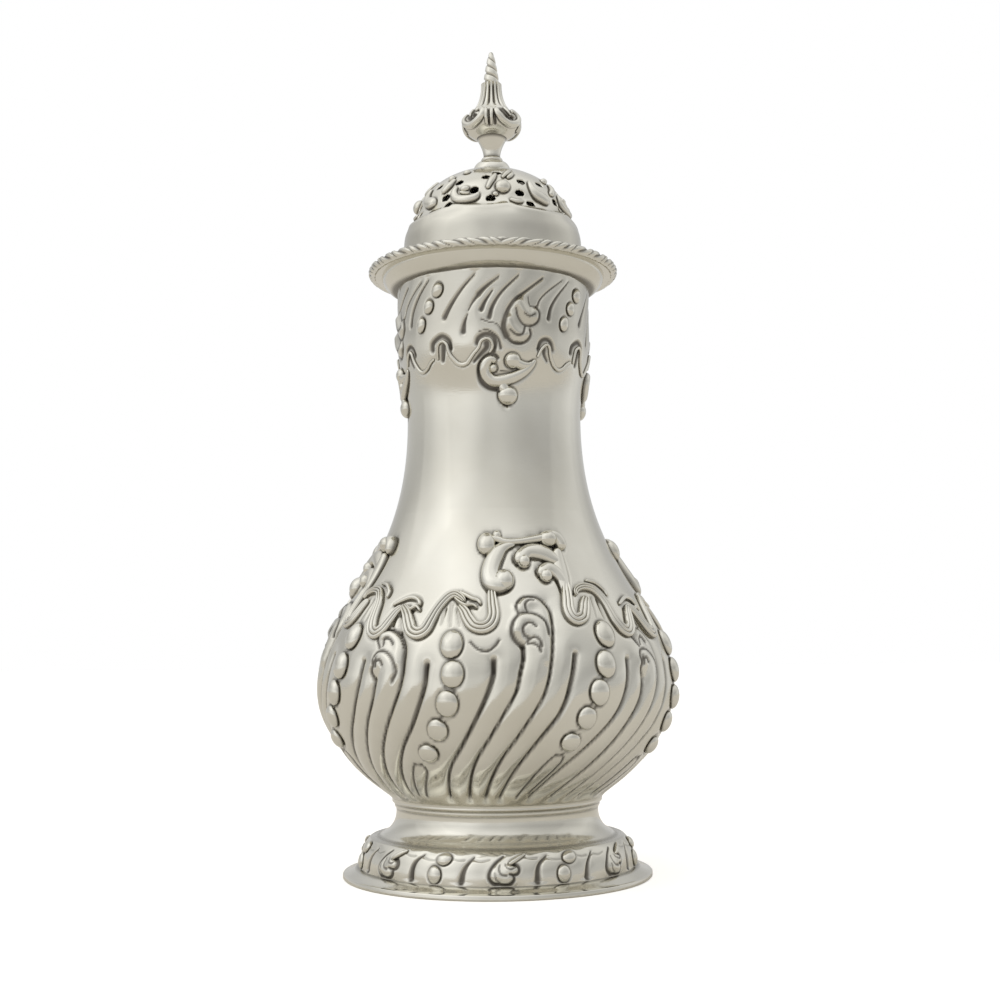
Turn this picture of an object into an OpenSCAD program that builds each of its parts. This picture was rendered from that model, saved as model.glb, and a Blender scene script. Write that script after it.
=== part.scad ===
// Silver sugar caster: a pear-shaped vessel on a spreading foot, closed by a
// pierced, push-fit dome cover with a cast finial. Millimetres, +Z up, with the
// origin at the centre of the foot, on the table.

/* [Foot] */
// How far the flat rim on the table stands out past the foot shell
rim_out = 4; // [1.5:0.1:8]
// Thickness of the rim at its outer edge
rim_edge = 1.2; // [0.8:0.1:2.5]
// Height of the moulded shoulder on the rim, above the table
rim_shoulder = 2.5; // [2.2:0.1:4]
// Depth of the seat in the rim that the foot shell stands in
rim_seat = 1.2; // [0.6:0.1:1.4]
// Width of the rim's ledge under the foot shell
rim_ledge = 1.8; // [1.2:0.1:4]
// Diameter of the foot shell where it stands in the rim
foot_d = 66; // [60:0.5:76]
// Height of the swelling band above the rim's shoulder
foot_band_h = 7; // [5:0.5:12]
// How far the top of the swelling band draws in from the foot's diameter, on radius
foot_band_in = 2.6; // [1:0.1:5]
// Width of the flat ledge above the band
foot_ledge = 1.2; // [0.5:0.1:2]
// Diameter of the foot's narrow waist
foot_waist_d = 48.6; // [42:0.2:52]
// Height of the waist above the ledge
foot_waist_rise = 6; // [4:0.5:12]
// Height of the joint with the body above the waist
foot_joint_rise = 3.2; // [2:0.1:6]
// Wall of the foot shell
foot_wall = 0.8; // [0.6:0.1:1.4]

/* [Body] */
// How far the joint between foot and body stands out past the foot's waist
joint_out = 1.1; // [0.4:0.1:1.5]
// Slope of the bowl's underside where the foot is soldered on, in degrees
joint_slope = 33; // [20:1:45]
// Depth of the bowl's round bottom below the joint
bowl_dip = 4.2; // [3:0.1:6]
// Greatest diameter of the belly
belly_d = 86.4; // [76:0.4:98]
// Height of the widest point above the joint
belly_rise = 26; // [20:0.5:36]
// Smallest diameter of the body, between belly and neck
waist_d = 42.8; // [36:0.4:46]
// Height of the smallest diameter above the widest point
waist_rise = 65; // [50:1:80]
// Outer diameter of the straight neck
neck_d = 48; // [46:0.4:52]
// Height of the flare from the waist to the straight neck
neck_flare = 21; // [14:1:30]
// Height of the straight neck, up to the mouth
neck_h = 15.3; // [10:0.1:22]
// Wall of the body shell
body_wall = 0.8; // [0.6:0.1:1.4]

/* [Raised ornament] */
// How many times the raised ornament repeats round the body
ornament_turns = 4; // [2:1:4]
// Width of the wavy border's ribbon
ribbon_w = 2.8; // [1.6:0.1:3.2]
// How far the ribbon stands out of the wall
ribbon_out = 0.8; // [0.4:0.1:1.2]
// Width of a swirled leaf on the belly
leaf_w = 4.4; // [2.4:0.1:5]
// How far a leaf stands out of the wall
leaf_out = 0.7; // [0.4:0.1:1]
// Width of a scroll at its broadest
scroll_w = 5.2; // [4:0.1:5.6]
// How far a scroll stands out at its broadest
scroll_out = 1.9; // [1:0.1:2.4]
// Width of the largest bead
bead_w = 5.6; // [4:0.1:6.2]
// How far the largest bead stands out
bead_out = 1.5; // [0.8:0.1:2]

/* [Neck collar] */
// How far the collar stands out from the neck, at the mouth
collar_out = 3.8; // [1.5:0.1:6]
// Height of the collar
collar_h = 3.4; // [2.5:0.1:6]
// Width of the collar's lower lip
collar_lip = 0.6; // [0.3:0.1:1]

/* [Cover] */
// How far the plain flange stands out past the collar
flange_out = 1.6; // [0.8:0.1:5]
// Thickness of the flange
flange_t = 1.0; // [0.7:0.1:1.5]
// Width of the flange inside the dome and the sleeve, whichever is narrower
flange_inside = 0.6; // [0.2:0.1:1.2]
// Thickness of the gadrooned border round the flange
border_d = 2.2; // [1.8:0.1:3]
// Number of lobes in the gadrooned border
border_lobes = 72; // [48:4:96]
// Diameter of the dome at its foot
dome_d = 44; // [40:0.2:46]
// Height of the dome's plain band above the flange
dome_band_h = 12.7; // [9:0.1:18]
// How far the top of the plain band draws in to the pierced cap, on radius
dome_band_in = 2.6; // [1:0.1:3.2]
// Height of the pierced cap
dome_cap_h = 14; // [11:0.5:18]
// Wall of the dome
dome_wall = 0.7; // [0.5:0.1:1.2]
// Diameter of one piercing
hole_d = 2; // [1.2:0.1:2.6]
// Number of piercings in each full row
holes_row = 12; // [8:1:14]
// Number of piercings in the top row
holes_top = 10; // [5:1:11]
// Wall of the bezel, the sleeve that goes into the neck
bezel_wall = 0.6; // [0.5:0.1:1.2]
// Running gap between bezel and neck, on radius
bezel_gap = 0.08; // [0.04:0.01:0.1]
// Straight neck left free below the bezel
bezel_end = 2.5; // [1:0.5:5]

/* [Finial] */
// Diameter of the button on the crown of the dome
button_d = 9.6; // [8:0.2:13]
// Height of the button
button_h = 2.8; // [2:0.1:4]
// Diameter of the tang that holds the finial to the dome
tang_d = 2.6; // [2:0.1:3]
// Gap round the tang, on radius
tang_gap = 0.05; // [0.02:0.01:0.1]
// Length of the tang inside the dome
tang_end = 1.2; // [0.6:0.1:2]
// Diameter of the ring at the stem's foot
stem_ring_d = 5.8; // [5.2:0.1:8]
// Thickness of that ring
stem_ring_h = 1.4; // [1:0.1:2]
// Diameter of the stem's waist
stem_waist_d = 4.2; // [3.6:0.1:5]
// Diameter of the stem under the knop
stem_top_d = 7.6; // [5.2:0.1:10]
// Length of the stem above its ring
stem_h = 5; // [3:0.1:8]
// Greatest diameter of the knop
knop_d = 14.2; // [11:0.2:20]
// Height of the knop
knop_h = 8; // [6:0.2:12]
// Number of flutes round the leaf cup
cup_flutes = 8; // [6:1:12]
// Depth of a flute
cup_flute_deep = 0.35; // [0.2:0.05:0.5]
// Diameter of the leaf cup's rim, round the spire
cup_d = 5.2; // [4.6:0.1:8]
// Height of the leaf cup above the knop
cup_h = 6.2; // [4:0.2:10]
// Diameter of the spire at its foot
spire_d = 4.2; // [3.4:0.1:4.6]
// Height of the spire
spire_h = 8.6; // [5:0.1:14]
// Twist of the spire from foot to tip, in degrees
spire_twist = 300; // [0:10:540]
// Diameter of the spire's blunt tip
spire_tip_d = 0.8; // [0.4:0.1:1.4]

/* [Hidden] */
$fn = 96;
silver = [0.80, 0.79, 0.75];
silver_warm = [0.76, 0.74, 0.69];

// Steps along each curve
fine = 20;
coarse = 8;
// A cut runs this far past what it cuts
past = 1;

// Radii of the named diameters
foot_r = foot_d / 2;
rim_r = foot_r + rim_out;
belly_r = belly_d / 2;
waist_r = waist_d / 2;
neck_r = neck_d / 2;
foot_waist_r = foot_waist_d / 2;
joint_r = foot_waist_r + joint_out;
dome_r = dome_d / 2;
collar_r = neck_r + collar_out;
flange_r = collar_r + flange_out;
bezel_r = neck_r - body_wall - bezel_gap;
flange_bore = min(dome_r - dome_wall, bezel_r - bezel_wall) - flange_inside;

// Heights, from the table up
ledge_z = rim_shoulder + foot_band_h;
foot_waist_z = ledge_z + foot_waist_rise;
joint_z = foot_waist_z + foot_joint_rise;
belly_z = joint_z + belly_rise;
waist_z = belly_z + waist_rise;
neck_z = waist_z + neck_flare;
mouth_z = neck_z + neck_h;
flange_z = mouth_z + flange_t;
cap_z = flange_z + dome_band_h;
cap_r = dome_r - dome_band_in;
button_r = button_d / 2;
// The cap is an ellipse whose crown is cut flat under the button
crown_z = cap_z + dome_cap_h * sqrt(1 - pow(button_r / cap_r, 2));
button_z = crown_z + button_h;
ring_z = button_z + stem_ring_h;
knop_z = ring_z + stem_h;
cup_z = knop_z + knop_h;
spire_z = cup_z + cup_h;

// The sloping land where the foot meets the bowl: the same two points on both
land_out = [joint_r, joint_z];
land_in = land_out - foot_wall / sin(90 - joint_slope / 2) * [cos(joint_slope), sin(joint_slope)];

// A point of a cubic curve through p[0] and p[3], pulled towards p[1] and p[2]
function bend(p, t) =
    pow(1 - t, 3) * p[0] + 3 * pow(1 - t, 2) * t * p[1] + 3 * (1 - t) * t * t * p[2] + pow(t, 3) * p[3];
function curve(p, steps) = [for (i = [0:steps]) bend(p, i / steps)];
function reversed(list) = [for (i = [len(list) - 1:-1:0]) list[i]];
function unit(v) = v / norm(v);
// The path moved to its left by d, and kept off the far side of the axis
function inset(path, d) = [
    for (i = [0:len(path) - 1])
        let (way = unit(path[min(i + 1, len(path) - 1)] - path[max(i - 1, 0)]),
             moved = path[i] + d * [-way.y, way.x])
            [max(0, moved.x), moved.y]
];

// Outlines, each from the bottom up

foot_path = concat(
    [[foot_r, rim_shoulder - rim_seat]],
    curve([[foot_r, rim_shoulder],
           [foot_r + 0.1, rim_shoulder + foot_band_h * 0.4],
           [foot_r - foot_band_in * 0.3, rim_shoulder + foot_band_h * 0.85],
           [foot_r - foot_band_in, ledge_z]], coarse),
    curve([[foot_r - foot_band_in - foot_ledge, ledge_z],
           [foot_waist_r + 2, ledge_z + foot_waist_rise * 0.15],
           [foot_waist_r, ledge_z + foot_waist_rise * 0.5],
           [foot_waist_r, foot_waist_z]], coarse),
    curve([[foot_waist_r, foot_waist_z],
           [foot_waist_r, foot_waist_z + foot_joint_rise * 0.5],
           [joint_r - 0.3, joint_z - foot_joint_rise * 0.3],
           land_out], coarse)
);

body_path = concat(
    curve([[0, joint_z - bowl_dip],
           [land_in.x * 0.55, joint_z - bowl_dip],
           land_in - land_in.x * 0.2 * [cos(joint_slope), sin(joint_slope)],
           land_in], coarse),
    curve([land_out,
           land_out + belly_rise * 0.35 * [cos(joint_slope), sin(joint_slope)],
           [belly_r, belly_z - belly_rise * 0.45],
           [belly_r, belly_z]], fine),
    curve([[belly_r, belly_z],
           [belly_r, belly_z + waist_rise * 0.31],
           [waist_r, belly_z + waist_rise * 0.41],
           [waist_r, waist_z]], fine),
    curve([[waist_r, waist_z],
           [waist_r, waist_z + neck_flare * 0.4],
           [neck_r, neck_z - neck_flare * 0.42],
           [neck_r, neck_z]], coarse),
    [[neck_r, mouth_z]]
);

dome_path = concat(
    [[dome_r, flange_z]],
    curve([[dome_r, flange_z + dome_band_h * 0.15],
           [dome_r + dome_band_in * 0.08, flange_z + dome_band_h * 0.5],
           [dome_r + dome_band_in * 0.4, cap_z - dome_band_h * 0.1],
           [cap_r, cap_z]], coarse),
    [for (i = [1:fine])
        let (out = asin(button_r / cap_r), up = (90 - out) * i / fine)
            [cap_r * cos(up), cap_z + dome_cap_h * sin(up)]]
);

// Raised ornament on the body. A place is an angle to the right of the front and a
// level: -100 at the joint, 0 at the belly, 100 at the waist, 200 and 300 at the
// straight neck's foot and mouth. The third number is the share of the full size.

// The wavy border, from the tail under one scroll group to the foot of the next
ribbon = [
    [-60.5, 47, 0.5], [-61.5, 41, 0.6], [-62.5, 34, 0.75], [-64, 28, 0.95], [-62.5, 24, 1],
    [-59, 25.5, 1], [-57, 30, 0.9], [-54.5, 34, 0.75], [-50.5, 34.5, 0.75], [-47.5, 31, 0.85],
    [-46, 25.5, 0.95], [-44, 21, 1], [-41.5, 20, 1], [-39, 22, 1], [-37, 26, 0.85], [-34, 29, 0.7],
    [-31, 26.5, 0.85], [-28.5, 22, 1], [-25, 19.5, 1], [-22.5, 21, 1], [-20.5, 26, 0.85],
    [-18, 30.5, 0.75], [-14.5, 32.5, 0.7], [-11.5, 28.5, 0.8], [-8.5, 24, 1], [-5, 21.5, 1],
    [-1.5, 22.5, 1], [-0.5, 26, 0.95], [-1, 31, 0.8], [-1, 36, 0.6]
];
// The two swirled leaves between the bead rows, each from its curled head down
leaves = [
    [[8, 26, 0.6], [10, 29, 0.75], [14, 29.5, 0.8], [17, 26.5, 0.85], [16.5, 19, 1], [14.5, 10, 1],
     [11, -3, 1], [8.5, -17, 0.95], [5, -31, 0.9], [1.5, -46, 0.8], [-2.5, -62, 0.75], [-7, -82, 0.6]],
    [[51, 15, 0.5], [52.5, 18.5, 0.65], [56.5, 18, 0.75], [59, 13, 0.85], [58, 6, 0.9], [55, -5, 0.9],
     [52, -18, 0.9], [49, -31, 0.85], [45.5, -45, 0.8], [41.5, -60, 0.7], [37, -78, 0.55]]
];
// The scroll group over the border and the pendant under the neck's border
scrolls = [
    [[6, 49.5, 0.4], [2.5, 48, 0.65], [0, 45, 0.8], [-1.5, 41, 0.9], [-1, 38, 1]],
    [[-2, 52, 0.35], [4, 51, 0.38], [11, 51, 0.42], [19, 52, 0.46], [24, 53, 0.52], [28, 52.5, 0.55]],
    [[28.5, 43, 0.35], [25, 45.5, 0.65], [20, 47, 0.8], [15.5, 47, 0.75], [12.5, 45.5, 0.7]],
    [[27.5, 34.5, 0.3], [26.5, 38, 0.5], [24, 41, 0.6], [21, 41, 0.65]],
    [[0, 151, 0.3], [-4, 147, 0.38], [-3.5, 138, 0.4], [1, 132, 0.44], [8, 133, 0.44], [15, 138, 0.4],
     [22, 147, 0.3]]
];
// Beads: the two rows on the belly, the balls on the scrolls, and those on the neck
beads = [
    [-13, 16, 1], [-12.5, 6, 1], [-14, -9, 0.95], [-17.5, -31, 0.88], [-22.5, -51, 0.82],
    [37, 19, 1], [34.5, 9, 1], [31.5, -1.5, 0.95], [28, -23, 0.88], [24, -43, 0.82],
    [1.5, 36.5, 1.1], [-4, 50, 0.9], [12.5, 44.5, 0.72], [20.5, 39.5, 0.68], [29.5, 50, 0.7],
    [11.5, 152, 0.62], [9, 115, 0.8],
    [-33, 252, 0.55], [-39.5, 227, 0.52], [-45.5, 199, 0.5]
];
// How deep each raised piece sits in the wall
sunk = body_wall / 2;
// A strip's section: shares of its half width, and of its rise or of the depth sunk
strip_section = [[-1, -1], [-0.75, 0.65], [0, 1], [0.75, 0.65], [1, -1]];
sides = len(strip_section);

// The body's outer wall above the joint, as heights and radii
outer_wall = [for (p = body_path) if (p.y >= joint_z) [p.y, p.x]];
// Half the stretch of wall that its lean is taken over
stretch = 1;
function level_z(level) =
    lookup(level, [[-100, joint_z], [0, belly_z], [100, waist_z], [200, neck_z], [300, mouth_z]]);
// How far the wall leans back from upright at a height, in degrees
function lean(z) =
    atan2(lookup(z - stretch, outer_wall) - lookup(z + stretch, outer_wall), 2 * stretch);
// A point that stands out of the wall at an angle and a height
function on_wall(angle, z, out) =
    let (r = lookup(z, outer_wall) + out * cos(lean(z)))
        [r * sin(angle), -r * cos(angle), z + out * sin(lean(z))];
// The way along a path at one of its points, as a unit step round and up the wall
function along(path, i) =
    let (a = path[max(i - 1, 0)], b = path[min(i + 1, len(path) - 1)], z = level_z(path[i].y))
        unit([(b.x - a.x) * PI / 180 * lookup(z, outer_wall),
              (level_z(b.y) - level_z(a.y)) / cos(lean(z))]);
function strip_points(path, half, rise) = [
    for (i = [0:len(path) - 1])
        let (z = level_z(path[i].y), way = along(path, i), turn = 180 / PI / lookup(z, outer_wall))
            for (k = strip_section)
                let (side = k.x * half * path[i].z)
                    on_wall(path[i].x - side * way.y * turn,
                            z + side * way.x * cos(lean(z)),
                            k.y < 0 ? -sunk : k.y * rise * path[i].z)
];

// Piercings: rows by their angle up the cap, each with a count and a turn
hole_rows = [
    [3.5, holes_row, 0],
    [14.5, holes_row, 180 / holes_row],
    [27, holes_row, -90 / holes_row],
    [39, holes_top, 0]
];

module shell(path, wall) {
    rotate_extrude()
        polygon(concat(path, reversed(inset(path, wall))));
}

module foot_rim() {
    seat_z = rim_shoulder - rim_seat;
    color(silver_warm)
        rotate_extrude()
            polygon(concat(
                [[foot_r - rim_ledge, 0], [rim_r, 0]],
                curve([[rim_r, rim_edge],
                       [rim_r - rim_out * 0.35, rim_edge],
                       [foot_r + rim_out * 0.3, rim_shoulder],
                       [foot_r, rim_shoulder]], coarse),
                [[foot_r, seat_z], [foot_r - rim_ledge, seat_z]]));
}

module foot() {
    inner = [for (p = inset(foot_path, foot_wall)) if (p.y < land_in.y - foot_wall / 2) p];
    seat_z = foot_path[0].y;
    color(silver_warm)
        rotate_extrude()
            polygon(concat(foot_path, [land_in], reversed([for (p = inner) [p.x, max(p.y, seat_z)]])));
}

// A low, closed strip along a path on the body's wall
module strip(path, half, rise) {
    last = (len(path) - 1) * sides;
    polyhedron(
        strip_points(path, half, rise),
        concat(
            [[for (k = [sides - 1:-1:0]) k]],
            [for (i = [0:len(path) - 2], k = [0:sides - 1])
                let (a = i * sides + k, b = i * sides + (k + 1) % sides)
                    each [[a, b, b + sides], [a, b + sides, a + sides]]],
            [[for (k = [0:sides - 1]) last + k]]));
}

// A round bead: the part of a sphere that stands out of the wall, and its root
module bead(angle, z, w, out) {
    ball_r = (w * w / 4 + out * out) / (2 * out);
    translate(on_wall(angle, z, 0))
        rotate([90 - lean(z), 0, angle])
            difference() {
                translate([0, 0, out - ball_r]) sphere(ball_r, $fn = 32);
                translate([0, 0, -sunk - 2 * ball_r]) cube(4 * ball_r, center = true);
            }
}

module body() {
    color(silver) {
        shell(body_path, body_wall);
        for (turn = [0:ornament_turns - 1])
            rotate(360 * turn / ornament_turns) {
                strip(ribbon, ribbon_w / 2, ribbon_out);
                for (path = leaves)
                    strip(path, leaf_w / 2, leaf_out);
                for (path = scrolls)
                    strip(path, scroll_w / 2, scroll_out);
                for (b = beads)
                    bead(b.x, level_z(b.y), bead_w * b.z, bead_out * b.z);
            }
    }
}

module neck_collar() {
    low_z = mouth_z - collar_h;
    rise = collar_out - collar_lip;
    color(silver)
        rotate_extrude()
            polygon(concat(
                [[neck_r, low_z]],
                curve([[neck_r + collar_lip, low_z],
                       [neck_r + collar_lip + rise * 0.45, low_z + collar_h * 0.12],
                       [collar_r - rise * 0.08, low_z + collar_h * 0.5],
                       [collar_r, mouth_z]], coarse),
                [[neck_r, mouth_z]]));
}

module cover_flange() {
    color(silver)
        rotate_extrude()
            polygon([[flange_bore, mouth_z], [flange_r, mouth_z],
                     [flange_r, flange_z], [flange_bore, flange_z]]);
}

// A round wire rabbeted on the flange's edge, with a notch between each two lobes
module gadroon_border() {
    border_r = flange_r + border_d / 2 - flange_t * 0.5;
    notch_d = border_d * 0.3;
    color(silver)
        difference() {
            rotate_extrude()
                difference() {
                    translate([border_r, mouth_z + border_d / 2]) circle(d = border_d);
                    translate([0, mouth_z - past]) square([flange_r, flange_t + past]);
                }
            for (i = [0:border_lobes - 1])
                rotate(360 * i / border_lobes)
                    translate([border_r + border_d / 2, 0, mouth_z + border_d])
                        rotate([45, 0, 0])
                            translate([0, 0, -border_d])
                                cylinder(d = notch_d, h = 2 * border_d, $fn = 16);
        }
}

module cover_dome() {
    color(silver)
        difference() {
            shell(dome_path, dome_wall);
            for (row = hole_rows)
                for (i = [0:row[1] - 1])
                    let (up = row[0], at = [cap_r * cos(up), 0, cap_z + dome_cap_h * sin(up)],
                         tilt = atan2(cos(up) * dome_cap_h, sin(up) * cap_r))
                        rotate(row[2] + 360 * i / row[1])
                            translate(at)
                                rotate([0, tilt, 0])
                                    translate([0, 0, -dome_wall - past])
                                        cylinder(d = hole_d, h = dome_wall + 2 * past, $fn = 24);
        }
    color(silver)
        rotate_extrude()
            polygon([[tang_d / 2 + tang_gap, crown_z - dome_wall], [button_r, crown_z - dome_wall],
                     [button_r, crown_z], [tang_d / 2 + tang_gap, crown_z]]);
}

module cover_bezel() {
    color(silver_warm)
        rotate_extrude()
            translate([bezel_r - bezel_wall, neck_z + bezel_end])
                square([bezel_wall, mouth_z - neck_z - bezel_end]);
}

module finial_button() {
    color(silver)
        rotate_extrude()
            polygon(concat(
                [[tang_d / 2 + tang_gap, crown_z]],
                curve([[button_r, crown_z],
                       [button_r, crown_z + button_h * 0.6],
                       [button_r - (button_r - stem_ring_d / 2) * 0.5, button_z],
                       [stem_ring_d / 2, button_z]], coarse),
                [[tang_d / 2 + tang_gap, button_z]]));
}

module finial_stem() {
    color(silver)
        rotate_extrude()
            polygon(concat(
                [[0, crown_z - dome_wall - tang_end], [tang_d / 2, crown_z - dome_wall - tang_end],
                 [tang_d / 2, button_z]],
                curve([[stem_ring_d / 2 - stem_ring_h * 0.3, button_z],
                       [stem_ring_d / 2, button_z + stem_ring_h * 0.2],
                       [stem_ring_d / 2, ring_z - stem_ring_h * 0.3],
                       [stem_waist_d / 2, ring_z]], coarse),
                curve([[stem_waist_d / 2, ring_z],
                       [stem_waist_d / 2, ring_z + stem_h * 0.4],
                       [stem_top_d / 2 - stem_h * 0.15, knop_z - stem_h * 0.3],
                       [stem_top_d / 2, knop_z]], coarse),
                [[0, knop_z]]));
}

// The cast knop: a bulb that draws in to a fluted leaf cup
module finial_knop() {
    knop_r = knop_d / 2;
    cup_r = cup_d / 2;
    wide_z = knop_z + knop_h * 0.45;
    color(silver)
        difference() {
            rotate_extrude()
                polygon(concat(
                    [[0, knop_z]],
                    curve([[stem_top_d / 2, knop_z],
                           [knop_r * 0.85, knop_z + knop_h * 0.12],
                           [knop_r, wide_z - knop_h * 0.2],
                           [knop_r, wide_z]], coarse),
                    curve([[knop_r, wide_z],
                           [knop_r, cup_z - knop_h * 0.2],
                           [cup_r + cup_h * 0.01, cup_z - knop_h * 0.22],
                           [cup_r, spire_z]], fine),
                    [[0, spire_z]]));
            for (i = [0:cup_flutes - 1])
                rotate(360 * i / cup_flutes)
                    translate([cup_r + cup_flute_deep, 0, cup_z + cup_h * 0.1])
                        cylinder(r = 2 * cup_flute_deep, h = cup_h, $fn = 24);
        }
}

// A twisted flame that tapers from the leaf cup to a blunt tip
module finial_spire() {
    lobes = 3;
    steps = 18;
    outline = [
        for (i = [0:steps - 1])
            let (a = 360 * i / steps)
                spire_d / 2 * (0.88 + 0.12 * cos(lobes * a)) * [cos(a), sin(a)]
    ];
    color(silver)
        translate([0, 0, spire_z])
            linear_extrude(height = spire_h, twist = spire_twist, slices = 20, scale = spire_tip_d / spire_d)
                polygon(outline);
}

foot_rim();
foot();
body();
neck_collar();
cover_flange();
gadroon_border();
cover_dome();
cover_bezel();
finial_button();
finial_stem();
finial_knop();
finial_spire();
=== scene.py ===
import bpy, bmesh
import numpy as np
from math import radians, pi, sin, cos
from types import SimpleNamespace
from mathutils import Matrix, Vector


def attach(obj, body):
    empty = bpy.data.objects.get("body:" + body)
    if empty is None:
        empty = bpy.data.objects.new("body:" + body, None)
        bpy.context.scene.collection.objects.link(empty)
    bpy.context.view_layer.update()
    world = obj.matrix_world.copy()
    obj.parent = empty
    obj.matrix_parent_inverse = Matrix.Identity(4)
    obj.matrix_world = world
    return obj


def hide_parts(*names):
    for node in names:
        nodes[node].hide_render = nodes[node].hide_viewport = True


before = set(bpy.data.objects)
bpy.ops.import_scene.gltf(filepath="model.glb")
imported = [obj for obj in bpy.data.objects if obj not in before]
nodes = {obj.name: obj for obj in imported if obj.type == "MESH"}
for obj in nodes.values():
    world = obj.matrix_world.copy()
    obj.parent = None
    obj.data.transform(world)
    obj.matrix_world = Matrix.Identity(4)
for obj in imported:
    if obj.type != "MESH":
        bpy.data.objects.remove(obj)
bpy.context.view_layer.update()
mm = 0.001
print("frame loaded:", len(nodes), "nodes")


# outlines are (radius, height) in millimetres, the same curves as the solids
def bend(points, steps):
    p = np.array(points, float)
    t = np.linspace(0, 1, steps + 1)[:, None]
    return (1 - t) ** 3 * p[0] + 3 * (1 - t) ** 2 * t * p[1] + 3 * (1 - t) * t * t * p[2] + t ** 3 * p[3]


def chain(*parts):
    joined = [np.array(parts[0], float)]
    for part in parts[1:]:
        part = np.array(part, float)
        same = np.hypot(*(part[0] - joined[-1][-1])) < 1e-6
        joined.append(part[1:] if same else part)
    return np.vstack(joined)


def runOf(path):
    return np.r_[0, np.cumsum(np.hypot(*np.diff(path, axis=0).T))]


def evenly(path, count):  # the same line with evenly spaced points
    run = runOf(path)
    at = np.linspace(0, run[-1], count)
    return np.stack([np.interp(at, run, path[:, 0]), np.interp(at, run, path[:, 1])], 1)


def stepped(path, heights, steps):  # points along the line, at a spacing that changes with the height
    run = runOf(path)
    count = np.r_[0, np.cumsum(np.diff(run) / np.interp((path[1:, 1] + path[:-1, 1]) / 2, heights, steps))]
    at = np.interp(np.linspace(0, count[-1], int(count[-1]) + 1), count, run)
    return np.stack([np.interp(at, run, path[:, 0]), np.interp(at, run, path[:, 1])], 1)


def inside(path, wall):  # the line moved towards the axis by the wall
    way = np.gradient(path, axis=0)
    way /= np.hypot(way[:, 0], way[:, 1])[:, None]
    moved = path + wall * np.stack([-way[:, 1], way[:, 0]], 1)
    moved[:, 0] = np.maximum(moved[:, 0], 0)
    return moved


sizes = {
    "footR": 33.0, "rimOut": 4.0, "rimEdge": 1.2, "rimShoulder": 2.5, "rimSeat": 1.2, "rimLedge": 1.8,
    "bandH": 7.0, "bandIn": 2.6, "ledge": 1.2, "footWaistR": 24.3, "footWaistRise": 6.0, "jointRise": 3.2,
    "footWall": 0.8, "jointOut": 1.1, "jointSlope": 33.0, "bowlDip": 4.2, "bellyR": 43.2, "bellyRise": 26.0,
    "waistR": 21.4, "waistRise": 65.0, "neckR": 24.0, "neckFlare": 21.0, "neckH": 15.3, "bodyWall": 0.8,
    "collarOut": 3.8, "collarH": 3.4, "collarLip": 0.6, "flangeOut": 1.6, "flangeT": 1.0, "borderD": 2.2,
    "flangeInside": 0.6, "bezelGap": 0.08, "bezelWall": 0.6,
    "domeR": 22.0, "domeBandH": 12.7, "domeBandIn": 2.6, "capH": 14.0, "domeWall": 0.7,
    "buttonR": 4.8, "buttonH": 2.8, "tangR": 1.3, "tangGap": 0.05, "tangEnd": 1.2,
    "ringR": 2.9, "ringH": 1.4, "stemWaistR": 2.1, "stemTopR": 3.8, "stemH": 5.0,
    "knopR": 7.1, "knopH": 8.0, "cupR": 2.6, "cupH": 6.2, "spireR": 2.1, "spireH": 8.6,
}
g = SimpleNamespace(**sizes)
ledgeZ = g.rimShoulder + g.bandH
footWaistZ = ledgeZ + g.footWaistRise
jointZ = footWaistZ + g.jointRise
bellyZ = jointZ + g.bellyRise
waistZ = bellyZ + g.waistRise
neckZ = waistZ + g.neckFlare
mouthZ = neckZ + g.neckH
flangeZ = mouthZ + g.flangeT
capZ = flangeZ + g.domeBandH
capR = g.domeR - g.domeBandIn
crownZ = capZ + g.capH * (1 - (g.buttonR / capR) ** 2) ** 0.5
buttonZ = crownZ + g.buttonH
ringZ = buttonZ + g.ringH
knopZ = ringZ + g.stemH
cupZ = knopZ + g.knopH
spireZ = cupZ + g.cupH
jointR = g.footWaistR + g.jointOut
slope = np.array([cos(radians(g.jointSlope)), sin(radians(g.jointSlope))])
landOut = np.array([jointR, jointZ])
landIn = landOut - g.footWall / sin(radians(90 - g.jointSlope / 2)) * slope


facesRound = {"plain": 256, "finial": 96}


def turned(name, outline, columns, ring=False):
    bm = bmesh.new()
    verts = [bm.verts.new((r * mm, 0, z * mm)) for r, z in outline]
    edges = [bm.edges.new(pair) for pair in zip(verts, verts[1:])]
    if ring:
        edges.append(bm.edges.new((verts[-1], verts[0])))
    # an eighth is spun and copied round, which is much quicker than one long spin
    bmesh.ops.spin(bm, geom=verts + edges, cent=(0, 0, 0), axis=(0, 0, 1), angle=pi / 4, steps=columns // 8)
    for doubling in (1, 2, 4):
        copied = bmesh.ops.duplicate(bm, geom=bm.verts[:] + bm.edges[:] + bm.faces[:])["geom"]
        bmesh.ops.rotate(bm, verts=[v for v in copied if isinstance(v, bmesh.types.BMVert)], cent=(0, 0, 0),
                         matrix=Matrix.Rotation(doubling * pi / 4, 3, "Z"))
        bmesh.ops.remove_doubles(bm, verts=bm.verts, dist=1e-6)
    bmesh.ops.recalc_face_normals(bm, faces=bm.faces)
    return keep(bm, name)


def keep(bm, name):
    mesh = bpy.data.meshes.new(name)
    bm.to_mesh(mesh)
    bm.free()
    obj = bpy.data.objects.new(name, mesh)
    bpy.context.scene.collection.objects.link(obj)
    return obj


def pointsOf(obj):  # in millimetres
    co = np.empty(len(obj.data.vertices) * 3)
    obj.data.vertices.foreach_get("co", co)
    return co.reshape(-1, 3) / mm


def movePoints(obj, co):
    obj.data.vertices.foreach_set("co", (co * mm).ravel())


def setRecess(obj, values):  # how dark each point is painted: tarnish and painted shade
    layer = obj.data.attributes.get("recess") or obj.data.attributes.new("recess", "FLOAT", "POINT")
    layer.data.foreach_set("value", values.astype(np.float32))


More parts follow.
